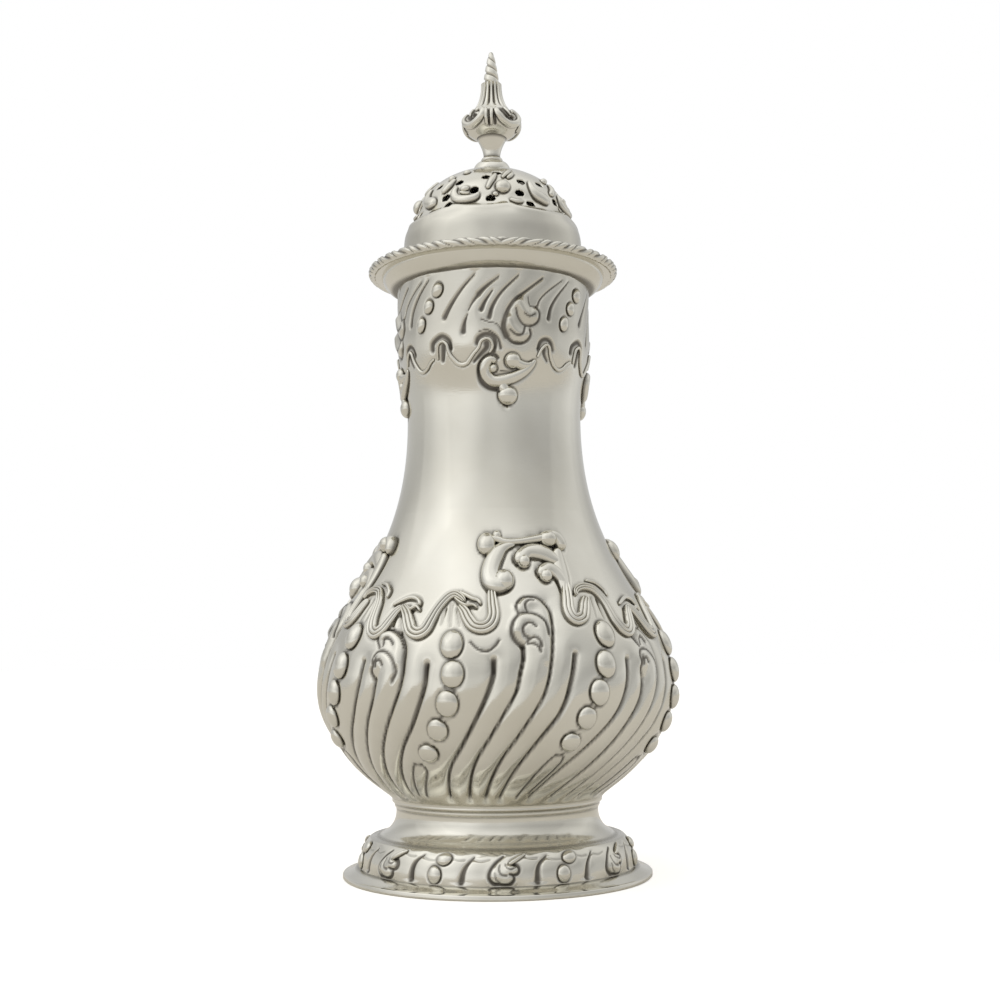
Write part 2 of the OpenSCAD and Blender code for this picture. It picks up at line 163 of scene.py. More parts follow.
def finishPiece(obj, body, material, *stands, sharp=50):
    mesh = obj.data
    mesh.polygons.foreach_set("use_smooth", np.ones(len(mesh.polygons), bool))
    mesh.set_sharp_from_angle(angle=radians(sharp))
    mesh.materials.clear()
    mesh.materials.append(material)
    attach(obj, body)
    if stands:
        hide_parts(*stands)
    print("made", obj.name, "with", len(mesh.polygons), "faces")
    return obj


# chasing: relief raised on, and lines cut into, a turned wall

def wallOf(path):
    way = np.gradient(path, axis=0)
    way /= np.hypot(way[:, 0], way[:, 1])[:, None]
    return {"r": path[:, 0], "z": path[:, 1], "run": runOf(path), "outR": way[:, 1], "outZ": -way[:, 0]}


def onWall(wall, angle, run, up):  # millimetres, angle 0 to the front
    at = {name: np.interp(run, wall["run"], wall[name]) for name in ("r", "z", "outR", "outZ")}
    r = at["r"] + up * at["outR"]
    a = np.radians(angle)
    return np.stack([r * np.sin(a), -r * np.cos(a), at["z"] + up * at["outZ"]], -1)


def smoothPath(points, per=5):  # a curve through the points
    p = np.array(points, float)
    if len(p) < 3:
        return p
    p = np.vstack([2 * p[0] - p[1], p, 2 * p[-1] - p[-2]])
    t = np.arange(per)[:, None] / per
    parts = []
    for a, b, c, d in zip(p, p[1:], p[2:], p[3:]):
        parts.append(0.5 * (2 * b + (c - a) * t + (2 * a - 5 * b + 4 * c - d) * t ** 2
                            + (3 * b - a - 3 * c + d) * t ** 3))
    return np.vstack(parts + [p[-2:-1]])


def openField(obj, wall, lowZ, highZ, times, nearest=0.12):  # the outer wall's points between two heights
    co = pointsOf(obj)
    radius = np.hypot(co[:, 0], co[:, 1])
    gap = np.abs(radius - np.interp(co[:, 2], wall["z"], wall["r"]))
    pick = np.nonzero((gap < nearest) & (co[:, 2] > lowZ) & (co[:, 2] < highZ))[0]
    z = co[pick, 2]
    field = {name: np.interp(z, wall["z"], wall[name]) for name in ("run", "outR", "outZ")}
    field.update(obj=obj, co=co, pick=pick, wall=wall, z=z, radius=radius[pick], period=360 / times,
                 angle=np.degrees(np.arctan2(co[pick, 0], -co[pick, 1])),
                 height=np.zeros(len(pick)), dark=np.zeros(len(pick)), near=np.full(len(pick), 1e3))
    return field


def runAt(wall, z):
    return np.interp(z, wall["z"], wall["run"])


def swingFrom(field, a0):  # degrees from the nearest repeat of an angle
    half = field["period"] / 2
    return (field["angle"] - a0 + half) % field["period"] - half


def flatFrom(field, a0, z0):  # millimetres across and up from the nearest repeat of a place
    return np.radians(swingFrom(field, a0)) * field["radius"], field["run"] - runAt(field["wall"], z0)


def nearPath(field, path, reach):  # who is near the line, how far off, and how far along it
    pts = smoothPath([q[:2] for q in path])
    run = runAt(field["wall"], pts[:, 1])
    middle = (pts[:, 0].min() + pts[:, 0].max()) / 2
    half = (pts[:, 0].max() - pts[:, 0].min()) / 2
    turn = swingFrom(field, middle)
    close = ((field["run"] > run.min() - reach) & (field["run"] < run.max() + reach)
             & (np.abs(turn) < half + np.degrees(reach / field["radius"])))
    idx = np.nonzero(close)[0]
    scale = np.radians(1) * field["radius"][idx]
    x, y = turn[idx] * scale, field["run"][idx]
    best = np.full(len(idx), 1e9)
    along = np.zeros(len(idx))
    for i in range(len(pts) - 1):
        ax, ay = (pts[i, 0] - middle) * scale, run[i]
        dx, dy = (pts[i + 1, 0] - pts[i, 0]) * scale, run[i + 1] - run[i]
        t = np.clip(((x - ax) * dx + (y - ay) * dy) / (dx * dx + dy * dy + 1e-12), 0, 1)
        d = np.hypot(x - ax - t * dx, y - ay - t * dy)
        hit = d < best
        best[hit] = d[hit]
        along[hit] = (i + t[hit]) / (len(pts) - 1)
    return idx, best, along


def shade(field, idx, amount):
    field["dark"][idx] = np.maximum(field["dark"][idx], amount)


def paintedShadeBand(field, amount, bare, full):  # painted shade that comes in between two heights
    shade(field, slice(None), amount * np.clip((field["z"] - bare) / (full - bare), 0, 1))


# lines are (path, half width at the start, at the end), and the thin ones are cut less deep
def cutLines(field, lines, depth, reach=1.6, dark=0.95, rounds=False, fullAt=0.45):
    for path, first, last in lines:
        idx, d, t = nearPath(field, path, reach)
        half = first + (last - first) * t
        cut = np.exp(-(d / half) ** 3)  # a tracer leaves a channel with a flat floor
        field["height"][idx] -= depth * np.minimum(half / fullAt, 1) * cut
        # darkness along the line: tarnish in the channel and painted shade over its walls
        shade(field, idx, dark * np.exp(-(d / (half * 1.1)) ** 4))
        if rounds:
            field["near"][idx] = np.minimum(field["near"][idx], d)


def roundLobes(field, fall, wide):  # the sheet between the lines swells up from them
    field["height"] -= fall * np.exp(-field["near"] / wide)


def swell(field, swells, fade=0.6, reach=2.4):  # (path, width, lift)
    for path, wide, lift in swells:
        idx, d, t = nearPath(field, path, wide * reach)
        field["height"][idx] += lift * np.exp(-(d / wide) ** 2) * (1 - fade * t)


def seatStrips(field, strips, dark, spread, sag=0.12, margin=1.4):  # the chased edge round raised strips, sunk a little and darkened with tarnish and painted shade
    for points in strips:
        idx, d, t = nearPath(field, points, max(q[2] for q in points) + margin)
        marks = np.linspace(0, 1, len(points))
        ends = np.array([(np.radians(a) * np.interp(z, field["wall"]["z"], field["wall"]["r"]),
                          runAt(field["wall"], z)) for a, z, *rest in points])
        at = np.interp(t, marks, runOf(ends))
        end = np.clip(np.minimum(at / points[0][2], (runOf(ends)[-1] - at) / points[-1][2]), 0, 1)
        half = np.interp(t, marks, [q[2] for q in points]) * np.sqrt(1 - (1 - end) ** 2)
        rim = np.exp(-((d - half) / spread) ** 2)
        field["height"][idx] -= sag * rim
        shade(field, idx, dark * rim)


# the same chased edge round beads, darkened with tarnish and painted shade
def seatBeads(field, beads, dark, spread, sag=0.2, margin=1.2):
    for a0, z0, wide, tall, lift, *lean in beads:
        x, y = flatFrom(field, a0, z0)
        idx = np.nonzero((np.abs(x) < wide + margin) & (np.abs(y) < tall + margin))[0]
        tilt = radians(lean[0]) if lean else 0
        x, y = x[idx] * cos(tilt) + y[idx] * sin(tilt), y[idx] * cos(tilt) - x[idx] * sin(tilt)
        rim = np.exp(-((np.hypot(x / wide, y / tall) - 1) * min(wide, tall) / spread) ** 2)
        field["height"][idx] -= sag * rim
        shade(field, idx, dark * rim)


def closeField(field):
    co, pick = field["co"], field["pick"]
    flat = np.hypot(co[pick, 0], co[pick, 1])
    grow = (flat + field["height"] * field["outR"]) / flat
    co[pick, :2] *= grow[:, None]
    co[pick, 2] += field["height"] * field["outZ"]
    movePoints(field["obj"], co)
    recess = np.zeros(len(co))
    recess[pick] = np.clip(field["dark"], 0, 1)
    setRecess(field["obj"], recess)
    field["obj"].data.update()


def darkRings(obj, rings):  # tarnish and painted shade in turned corners and joints: (height, half width, darkness)
    z = pointsOf(obj)[:, 2]
    recess = np.zeros(len(z), np.float32)
    layer = obj.data.attributes.get("recess")
    if layer:
        layer.data.foreach_get("value", recess)
    for z0, half, dark in rings:
        recess = np.maximum(recess, dark * np.exp(-((z - z0) / half) ** 2))
    setRecess(obj, recess)
    return obj


# cross sections of a raised strip: place across, lift and darkness from one edge to the other; the darkness
# is tarnish and painted shade at the edges and between the ribs
stripShape = {"edgeDark": 0.75, "edgeWide": 0.12,
              "ribs": 3, "ribLift": 0.4, "ribDark": 0.85, "ribWide": 0.3}
turn = np.linspace(-pi / 2, pi / 2, 13)
edge = 1 - np.abs(np.sin(turn))
roundSection = (np.sin(turn), np.cos(turn),
                stripShape["edgeDark"] * np.exp(-(edge / stripShape["edgeWide"]) ** 2))
across = np.linspace(-1, 1, 25)
ridge = np.abs(np.sin(stripShape["ribs"] / 2 * pi * (across + 1)))
ribLift = stripShape["ribLift"]
ridgeSection = (across, (1 - ribLift) * np.sqrt(1 - across ** 4) + ribLift * ridge,
                stripShape["ribDark"] * np.exp(-(ridge / stripShape["ribWide"]) ** 2))


def layStrip(bm, wall, points, section, step=0.4, sink=0.5):  # points are (angle, height, half width, lift)
    p = smoothPath([(a, runAt(wall, z), w, h) for a, z, w, h in points], 8)
    r = np.interp(p[:, 1], wall["run"], wall["r"])
    stepRound = np.radians(np.diff(p[:, 0])) * (r[1:] + r[:-1]) / 2
    length = np.r_[0, np.cumsum(np.hypot(stepRound, np.diff(p[:, 1])))]
    tips = np.array([0.03, 0.12, 0.28, 0.5, 0.75])
    at = np.unique(np.r_[np.linspace(0, length[-1], int(length[-1] / step) + 6),
                         tips * p[0, 2], length[-1] - tips * p[-1, 2]])
    at = at[(at >= 0) & (at <= length[-1])]
    a, s, half, lift = (np.interp(at, length, p[:, k]) for k in range(4))
    r = np.interp(s, wall["run"], wall["r"])
    way = np.stack([np.gradient(np.radians(a), at) * r, np.gradient(s, at)], 1)
    way /= np.hypot(way[:, 0], way[:, 1])[:, None]
    bending = np.gradient(np.unwrap(np.arctan2(way[:, 1], way[:, 0])), at)
    bending = np.convolve(np.pad(bending, 3, "edge"), np.ones(7) / 7, "valid")
    end = np.clip(np.minimum(at / p[0, 2], (length[-1] - at) / p[-1, 2]), 0, 1)
    taper = np.sqrt(1 - (1 - end) ** 2)  # round ends

    place = np.r_[section[0], 0.8, -0.8, section[0][0]]
    up = np.r_[section[1], -1, -1, section[1][0]]
    shadow = np.r_[section[2], 0, 0, section[2][0]]
    made = bmesh.ops.create_grid(bm, x_segments=len(at) - 1, y_segments=len(place) - 1, size=0.5)["verts"]
    grid = np.array([v.co[:2] for v in made]) + 0.5
    i = np.rint(grid[:, 0] * (len(at) - 1)).astype(int)
    j = np.rint(grid[:, 1] * (len(place) - 1)).astype(int)
    off = (half * taper)[i] * place[j]
    tight = 0.9 / np.maximum(np.abs(bending[i]), 1e-6)  # keeps the inner side of a bend from folding over
    off = np.where(off * bending[i] > 0, np.sign(off) * np.minimum(np.abs(off), tight), off)
    rise = np.where(up[j] < 0, -sink, up[j] * lift[i]) * taper[i]
    spot = onWall(wall, a[i] - np.degrees(way[i, 1] * off / r[i]), s[i] + way[i, 0] * off, rise) * mm
    layer = bm.verts.layers.float["recess"]
    for v, co, value in zip(made, spot, shadow[j]):
        v.co = co
        v[layer] = value


def setBead(bm, wall, bead, sink=0.5, sides=28):  # (angle, height, half width, half height, lift, tilt)
    a0, z0, wide, tall, lift, *lean = bead
    tilt = radians(lean[0]) if lean else 0
    r0 = np.interp(z0, wall["z"], wall["r"])
    made = bmesh.ops.create_uvsphere(bm, u_segments=sides, v_segments=sides // 2, radius=1)["verts"]
    co = np.array([v.co for v in made])
    x, y = co[:, 0] * wide, co[:, 1] * tall
    x, y = x * cos(tilt) - y * sin(tilt), y * cos(tilt) + x * sin(tilt)
    rise = np.where(co[:, 2] > 0, co[:, 2] * lift, co[:, 2] * sink)
    spot = onWall(wall, a0 + np.degrees(x / r0), runAt(wall, z0) + y, rise) * mm
    layer = bm.verts.layers.float["recess"]
    for v, p, up in zip(made, spot, co[:, 2]):
        v.co = p
        # tarnish and painted shade round the bead's edge, darkest where it meets the wall
        v[layer] = 0.75 * max(0, 1 - abs(up) / 0.4) ** 1.5


def repeatRound(bm, times):
    base = bm.verts[:] + bm.edges[:] + bm.faces[:]
    for k in range(1, times):
        copied = bmesh.ops.duplicate(bm, geom=base)["geom"]
        bmesh.ops.rotate(bm, verts=[v for v in copied if isinstance(v, bmesh.types.BMVert)], cent=(0, 0, 0),
                         matrix=Matrix.Rotation(2 * pi * k / times, 3, "Z"))


def raised(name, wall, strips, beads, times):  # strips are (section, points)
    bm = bmesh.new()
    bm.verts.layers.float.new("recess")
    for section, points in strips:
        layStrip(bm, wall, points, section)
    for bead in beads:
        setBead(bm, wall, bead)
    bmesh.ops.remove_doubles(bm, verts=bm.verts, dist=2e-6)
    bmesh.ops.recalc_face_normals(bm, faces=bm.faces)
    repeatRound(bm, times)
    return keep(bm, name)


silverLook = {"polished": (0.775, 0.757, 0.682), "worn": (0.69, 0.667, 0.585), "cloudScale": 38,
              "tarnishAndShade": (0.105, 0.097, 0.083), "tarnishAndShadeSpread": 2.0, "tarnishAndShadeFrom": 0.06,
              "tarnishAndShadeFull": 0.92, "tarnishAndShadeRough": 0.3, "grainScale": 260, "roughLow": 0.1, "roughHigh": 0.19,
              "scratch": 0.05, "scratchDepth": 0.0002, "streakScale": 420,
              "hammer": 0.025, "hammerDepth": 0.0012, "waveScale": 70}


def silverMaterial(name, look):
    mat = bpy.data.materials.new(name)
    mat.use_nodes = True
    tree = mat.node_tree
    n, link = tree.nodes, tree.links.new
    shader = n["Principled BSDF"]
    shader.inputs["Metallic"].default_value = 1.0
    coord = n.new("ShaderNodeTexCoord")

    def noise(scale, detail, stretch=(1, 1, 1)):
        place = n.new("ShaderNodeMapping")
        place.inputs["Scale"].default_value = stretch
        tex = n.new("ShaderNodeTexNoise")
        tex.inputs["Scale"].default_value = scale
        tex.inputs["Detail"].default_value = detail
        link(coord.outputs["Object"], place.inputs["Vector"])
        link(place.outputs["Vector"], tex.inputs["Vector"])
        return tex.outputs["Fac"]

    def ramp(value, low, high, lowColor, highColor):
        r = n.new("ShaderNodeValToRGB")
        r.color_ramp.elements[0].position, r.color_ramp.elements[1].position = low, high
        r.color_ramp.elements[0].color, r.color_ramp.elements[1].color = (*lowColor, 1), (*highColor, 1)
        link(value, r.inputs["Fac"])
        return r.outputs["Color"]

    def mixColor(fac, a, b):
        m = n.new("ShaderNodeMix")
        m.data_type = "RGBA"
        link(fac, m.inputs["Factor"])
        link(a, m.inputs[6])
        link(b, m.inputs[7])
        return m.outputs[2]

    recess = n.new("ShaderNodeAttribute")
    recess.attribute_name = "recess"
    cloud = noise(look["cloudScale"], 4)  # soft patches of wear
    grain = noise(look["grainScale"], 5)
    base = ramp(cloud, 0.35, 0.7, look["polished"], look["worn"])
    # the tarnish colour also stands in for painted shade: it is laid wherever the recess attribute is dark
    paler = tuple(c * look["tarnishAndShadeSpread"] for c in look["tarnishAndShade"])
    tarnishAndShadeColour = ramp(grain, 0.3, 0.75, look["tarnishAndShade"], paler)
    deep = ramp(recess.outputs["Fac"], look["tarnishAndShadeFrom"], look["tarnishAndShadeFull"], (0, 0, 0), (1, 1, 1))
    link(mixColor(deep, base, tarnishAndShadeColour), shader.inputs["Base Color"])

    rough = n.new("ShaderNodeMapRange")
    rough.inputs["From Min"].default_value, rough.inputs["From Max"].default_value = 0.3, 0.7
    rough.inputs["To Min"].default_value = look["roughLow"]
    rough.inputs["To Max"].default_value = look["roughHigh"]
    link(grain, rough.inputs["Value"])
    more = n.new("ShaderNodeMath")
    more.operation = "MULTIPLY_ADD"
    more.inputs[1].default_value = look["tarnishAndShadeRough"]
    link(deep, more.inputs[0])
    link(rough.outputs["Result"], more.inputs[2])
    link(more.outputs["Value"], shader.inputs["Roughness"])

    streak = noise(look["streakScale"], 3, (1, 1, 9))  # fine lines left by the polishing cloth
    wave = noise(look["waveScale"], 2)  # low unevenness of hand-raised sheet
    normal = None
    for height, strength, depth in ((streak, look["scratch"], look["scratchDepth"]),
                                    (wave, look["hammer"], look["hammerDepth"])):
        bump = n.new("ShaderNodeBump")
        bump.inputs["Strength"].default_value = strength
        bump.inputs["Distance"].default_value = depth
        link(height, bump.inputs["Height"])
        if normal:
            link(normal, bump.inputs["Normal"])
        normal = bump.outputs["Normal"]
    link(normal, shader.inputs["Normal"])
    return mat


silver = silverMaterial("chasedSilver", silverLook)
print("silver ready")


def raisedPiece(name, body, wall, ridges, rolls, beads, times):
    strips = [(ridgeSection, points) for points in ridges] + [(roundSection, points) for points in rolls]
    finishPiece(raised(name, wall, strips, beads, times), body, silver, sharp=75)


# the body: belly and neck, chased, meeting in the plain waist
seamZ = 86.0
bowl = bend([[0, jointZ - g.bowlDip], [landIn[0] * 0.55, jointZ - g.bowlDip],
             landIn - landIn[0] * 0.2 * slope, landIn], 6)
bellyLow = bend([landOut, landOut + g.bellyRise * 0.35 * slope,
                 [g.bellyR, bellyZ - g.bellyRise * 0.45], [g.bellyR, bellyZ]], 80)
bellyHigh = bend([[g.bellyR, bellyZ], [g.bellyR, bellyZ + g.waistRise * 0.31],
                  [g.waistR, bellyZ + g.waistRise * 0.41], [g.waistR, waistZ]], 160)
neckFlare = bend([[g.waistR, waistZ], [g.waistR, waistZ + g.neckFlare * 0.4],
                  [g.neckR, neckZ - g.neckFlare * 0.42], [g.neckR, neckZ]], 60)
bodyPath = chain(bellyLow, bellyHigh, neckFlare, [[g.neckR, neckZ], [g.neckR, mouthZ]])
bodyWall = wallOf(bodyPath)
seamAt = np.array([np.interp(seamZ, bodyPath[:, 1], bodyPath[:, 0]), seamZ])

bellyChase = {
    "columns": 688, "times": 4, "rowZ": [19, 30, 46, 50, 67, 70, 82, 86],
    "rowStep": [1.0, 0.85, 0.8, 0.42, 0.42, 0.8, 0.9, 1.2],
    "lobeReach": 7.0, "lobeFall": 1.0, "lobeWide": 1.8, "backing": 1.0, "lobeCut": 0.4, "lineCut": 0.42,
    "fanCut": 0.3, "fanDark": 0.35,
    # round raised work: darkness (tarnish and painted shade), spread and sag of the chased edge
    "ribbonSeat": (0.5, 0.42, 0.16), "rollSeat": (0.75, 0.42, 0.25), "beadSeat": (0.95, 0.36),
    # chased lines, (angle, height) points from the top, then half widths at the top and the foot
    "lobeLines": [
        ([(-0.5, 51.6), (-1, 47.3), (-4.8, 40.2), (-10.8, 32.7), (-17, 27), (-22.2, 20.4)], 0.68, 0.3),
        ([(25, 52.8), (22.8, 46.7), (19.6, 40), (13.4, 33.6), (7, 27), (1.6, 20.4)], 0.62, 0.3),
        ([(45, 51.5), (43.5, 45.6), (39.5, 39), (32, 32.5), (24, 26.8), (15.6, 20.4)], 0.55, 0.3),
        ([(69.2, 50.8), (68.4, 45.2), (63.9, 37.5), (57.4, 31.6), (50.4, 25.6), (44.6, 20.4)], 0.62, 0.3),
        ([(8.4, 54.6), (8.5, 53), (8.2, 51.3), (7.3, 48.7), (6.2, 45.1), (3.7, 41.4), (-2, 34.3),
          (-7.6, 28.2), (-12.6, 20.4)], 0.52, 0.34),
        ([(18, 64.1), (19.2, 62.5), (19.2, 60.7), (18.8, 58.2), (17.8, 54.1), (17, 51.3), (15.8, 47.2),
          (13.4, 42.6), (6.9, 34.8), (1.2, 28.8), (-5, 20.4)], 0.46, 0.36),
        ([(51.3, 47.2), (49.8, 42.5), (46, 37.5), (40.6, 31.5), (34.4, 26), (27, 20.4)], 0.48, 0.32),
        ([(57.8, 57.7), (60.2, 55.5), (61.2, 52.8), (61, 47.5), (58.5, 42.3), (53.5, 36.2), (47.6, 30.5),
          (36.4, 20.4)], 0.48, 0.34),
    ],
    "scrollLines": [
        ([(7, 62.9), (7.8, 64.1), (9.8, 65.1), (12.2, 65.3), (15.5, 65.1), (18, 64.1)], 0.3, 0.42),
        ([(7, 63), (7.3, 62), (8, 61.4), (10.5, 61.5), (13, 61.4), (15, 60.7), (16.5, 59.5), (17, 57.2)],
         0.3, 0.42),
        ([(13.5, 64.3), (11.5, 64.2), (10.2, 63.3), (10.2, 62.5), (10.8, 61.7)], 0.3, 0.32),
        ([(7.5, 61), (5.8, 59.7), (5, 57.9), (5.5, 56.4), (6.8, 55.3), (8.3, 54.7)], 0.34, 0.6),
        ([(13, 58.5), (12, 59.1), (10.5, 59.3), (9, 58.6), (8.5, 57.7), (9.2, 56.7), (10.5, 56.2)],
         0.3, 0.34),
        ([(9.8, 55.5), (10.8, 56), (12, 56.3), (13.2, 55.9), (13.8, 55.2), (14, 54.3)], 0.3, 0.38),
        ([(10, 55), (11.8, 54.9), (13, 54.2), (13.5, 53.2)], 0.3, 0.32),
        ([(51.8, 54.2), (49.8, 56.2), (50.2, 57.5), (53.5, 58.5), (57.8, 57.7)], 0.3, 0.46),
        ([(51.5, 52), (50, 49.2), (51.3, 47.2)], 0.34, 0.46),
        ([(52.8, 54.8), (53, 56.2), (54.8, 56.3), (56.5, 55.2)], 0.3, 0.32),
        ([(50.2, 50.8), (50.2, 52.1), (51.5, 53.4), (54.5, 53.5), (57.2, 52.2), (58.7, 50.5), (59.2, 49),
          (58.2, 47.2)], 0.3, 0.4),
        ([(51.6, 50.2), (51.8, 51.3), (53.2, 51.6), (54.2, 50.6)], 0.3, 0.32),
        ([(28, 77.8), (28.6, 76.8), (28.4, 75.9)], 0.6, 0.45),
        ([(-7.5, 55.5), (-5, 53.9), (-2.2, 53.6), (0.2, 54.8), (1.2, 55.9)], 0.3, 0.32),
        ([(-38.6, 20.6), (-31.4, 27.2), (-28.8, 28.8), (-26.2, 28.4), (-26.2, 26.4), (-34, 20.6)],
         0.3, 0.32),
        ([(8.6, 20.6), (15.6, 27.6), (19.6, 30.6), (22.2, 30.6), (22.4, 28.4), (14.4, 21.6)], 0.3, 0.32),
    ],
    "swells": [  # the raised leaf heads and the crowns of the lobes: path, width, lift
        ([(8.5, 62.8), (10.5, 63.8), (13.5, 64), (15.8, 63.2), (17.2, 61.4), (17.6, 58.4)], 1.5, 1),
        ([(6.6, 58), (8, 60), (10.8, 60.4), (13.8, 59.8), (15.4, 57.6), (15, 52)], 1.6, 1.05),
        ([(11.2, 57.6), (12.6, 54.6), (12.8, 51), (10.4, 43.5), (4, 35), (-2.6, 28.4)], 2.6, 0.6),
        ([(52, 57), (55, 57.2), (58.4, 55.6), (59.6, 51.6)], 1.3, 0.85),
        ([(51.4, 51.4), (54.6, 52.2), (57, 49.6), (54.6, 45), (50.8, 39), (45, 32), (38.6, 26)], 2.2, 0.6),
    ],
    "beads": [  # angle, height, half width, half height, lift
        (-13.2, 55, 2.55, 3.3, 1.5), (-12.4, 48.6, 2.55, 3.05, 1.5), (-14, 42.3, 2.5, 2.95, 1.45),
        (-17.6, 36.6, 2.3, 2.6, 1.35), (-22.3, 31.4, 2.25, 2.35, 1.3), (37, 57, 2.5, 3.3, 1.5),
        (34.6, 50.4, 2.5, 3.15, 1.5), (31.6, 44.3, 2.45, 2.95, 1.45), (27.8, 38.8, 2.3, 2.65, 1.35),
        (23.8, 33.6, 2.25, 2.35, 1.3)],
}

# the rocaille border over the lobes and the scroll group that it carries: (angle, height, half width, lift)
scrollWork = {
    "ribbons": [
        [(-62, 69.4, 0.8, 0.7), (-62.6, 67.1, 1.2, 0.85), (-63.4, 64.8, 1.35, 0.85),
         (-64.2, 62.6, 1.45, 0.8), (-63.8, 60.9, 1.5, 0.8), (-62.1, 60.2, 1.55, 0.8),
         (-59.6, 60.8, 1.5, 0.8), (-58, 62.3, 1.45, 0.8), (-56.6, 64, 1.3, 0.75), (-55, 65.4, 0.9, 0.6)],
        [(-59.6, 65.6, 0.5, 0.6), (-58.2, 66.9, 0.8, 0.75), (-54.6, 67.6, 1, 0.8),
         (-50.6, 67.2, 1.05, 0.8), (-48.2, 65.8, 1.1, 0.8), (-46.8, 64, 1.2, 0.8), (-46.2, 62, 1.35, 0.8),
         (-45.6, 60, 1.5, 0.8), (-44.2, 58.3, 1.55, 0.8), (-41.8, 57.6, 1.55, 0.8),
         (-39.4, 58.6, 1.5, 0.8), (-37.6, 60.6, 1.35, 0.75), (-36, 62.4, 1.1, 0.7), (-34, 63.5, 0.7, 0.55)],
        [(-34.4, 63.7, 0.7, 0.6), (-31.4, 61.9, 1.25, 0.75), (-29.4, 59.8, 1.45, 0.8),
         (-27.6, 58.1, 1.5, 0.8), (-25, 57.4, 1.55, 0.8), (-22.6, 58.2, 1.5, 0.8), (-21.3, 60.2, 1.3, 0.8),
         (-20.1, 62.2, 1.15, 0.8), (-18.4, 64.1, 1.1, 0.8), (-16.4, 65.5, 1.1, 0.8), (-14.2, 65.9, 1, 0.8),
         (-11.9, 65.1, 0.8, 0.7), (-10.4, 64.2, 0.5, 0.5)],
        [(-12.6, 63.6, 0.7, 0.6), (-10.4, 62.2, 1.2, 0.75), (-8.7, 60.4, 1.4, 0.8), (-6.7, 58.9, 1.5, 0.8),
         (-3.8, 58.5, 1.55, 0.8), (-1.4, 59.4, 1.5, 0.8), (-0.4, 61.2, 1.4, 0.8), (-0.7, 63.4, 1.3, 0.8),
         (-1, 65.4, 1.1, 0.75), (-1.2, 67, 0.9, 0.7)],
    ],
    "rolls": [
        [(-39, 63.8, 0.35, 0.45), (-35, 64.9, 0.5, 0.6), (-31.8, 65.4, 0.55, 0.7), (-28.6, 64.9, 0.5, 0.7),
         (-26.9, 63.6, 0.4, 0.6)],
        [(-32.4, 63.7, 0.3, 0.5), (-30.2, 62.8, 0.42, 0.8), (-28.2, 63.3, 0.42, 0.8),
         (-26.4, 62.4, 0.3, 0.5)],
        [(-12.9, 66.5, 0.35, 0.5), (-10.2, 65.6, 0.5, 0.75), (-8, 64.9, 0.55, 0.75), (-6, 64.5, 0.5, 0.65),
         (-4.8, 63.6, 0.35, 0.5)],
        [(-14.4, 65, 0.3, 0.8), (-12, 63.9, 0.42, 0.95), (-10, 63.3, 0.42, 0.95), (-7.6, 63.4, 0.4, 0.8),
         (-6, 62.8, 0.3, 0.6)],
        [(-51.8, 69.1, 0.35, 0.5), (-47.2, 68.5, 0.5, 0.7), (-44.2, 67, 0.5, 0.6),
         (-43.8, 65.6, 0.35, 0.5)],
        # leg with a clubbed end, arm with its hook and long tail, two inner leaves
        [(28.8, 76.4, 0.9, 1.2), (28.4, 74.8, 1.4, 1.15), (28, 72.6, 1.65, 1), (27.7, 70.4, 1.65, 0.9),
         (27.3, 68.2, 1.4, 0.8), (26.8, 66, 0.8, 0.6)],
        [(9.4, 77.3, 0.5, 0.5), (5.6, 76.9, 1.1, 1), (2.4, 76, 1.65, 1.35), (0.2, 74.3, 1.95, 1.55),
         (-1.1, 72.6, 2.05, 1.65), (-1.8, 70.8, 2.1, 1.75), (-1.3, 69.2, 2.3, 1.8), (0.2, 68.2, 2.4, 1.9),
         (2.4, 68, 2.3, 1.9), (4.4, 68.6, 2, 1.8)],
        [(-2.4, 78.6, 0.8, 1), (1, 78.5, 0.95, 1.1), (3.6, 78, 0.9, 1.05), (6.4, 77.8, 0.85, 1),
         (10.8, 77.9, 0.85, 1), (15.5, 78.2, 0.95, 1.1), (19.2, 78.5, 1.05, 1.2), (23, 78.8, 1.2, 1.5),
         (26.6, 79.2, 1.5, 1.8), (29.6, 78.9, 1.6, 1.9), (31.4, 77.5, 1.45, 1.8), (31, 76, 1.1, 1.4)],
        [(29, 72.6, 0.7, 0.7), (26, 73.9, 1.6, 1.2), (21.6, 75.2, 2.1, 1.5), (17, 75.6, 2.05, 1.55),
         (13.6, 75.2, 1.85, 1.6), (11.2, 73.9, 1.85, 1.7), (12, 72.6, 1.8, 1.7)],
        [(27.6, 67, 0.6, 0.5), (26.8, 69.4, 1.3, 1), (24.8, 71, 1.6, 1.25), (22.2, 71.6, 1.7, 1.4),
         (19.8, 70.9, 1.7, 1.5), (20, 69.6, 1.6, 1.5)],
    ],
    "balls": [(-3.7, 77.4, 2.1, 2.9, 1.95), (1, 79.3, 1, 1.25, 1.3), (12.2, 73.2, 1.5, 1.8, 1.95),
              (20.4, 70, 1.5, 1.8, 1.75), (3.4, 68.9, 2.35, 2.75, 2.4), (25.4, 78.5, 2.2, 2.1, 2.4)],
    "fans": [([(-17, 62.8), (-17.4, 61), (-17.8, 59.2)], 0.5, 0.3),
             ([(-15.2, 63.8), (-14.9, 61.2), (-14.4, 58.8)], 0.6, 0.3),
             ([(-13, 62.6), (-12.2, 60.8), (-11.4, 59)], 0.5, 0.3),
             ([(-52.2, 65.2), (-53, 62.8), (-53.8, 60.7)], 0.5, 0.3),
             ([(-50, 64.6), (-50.2, 62.4), (-50.4, 60.4)], 0.6, 0.3),
             ([(-36.6, 61.2), (-36, 59.8), (-35.2, 58.4)], 0.5, 0.3),
             ([(-34.2, 61.6), (-33.4, 60), (-32.6, 58.4)], 0.5, 0.3)],
}

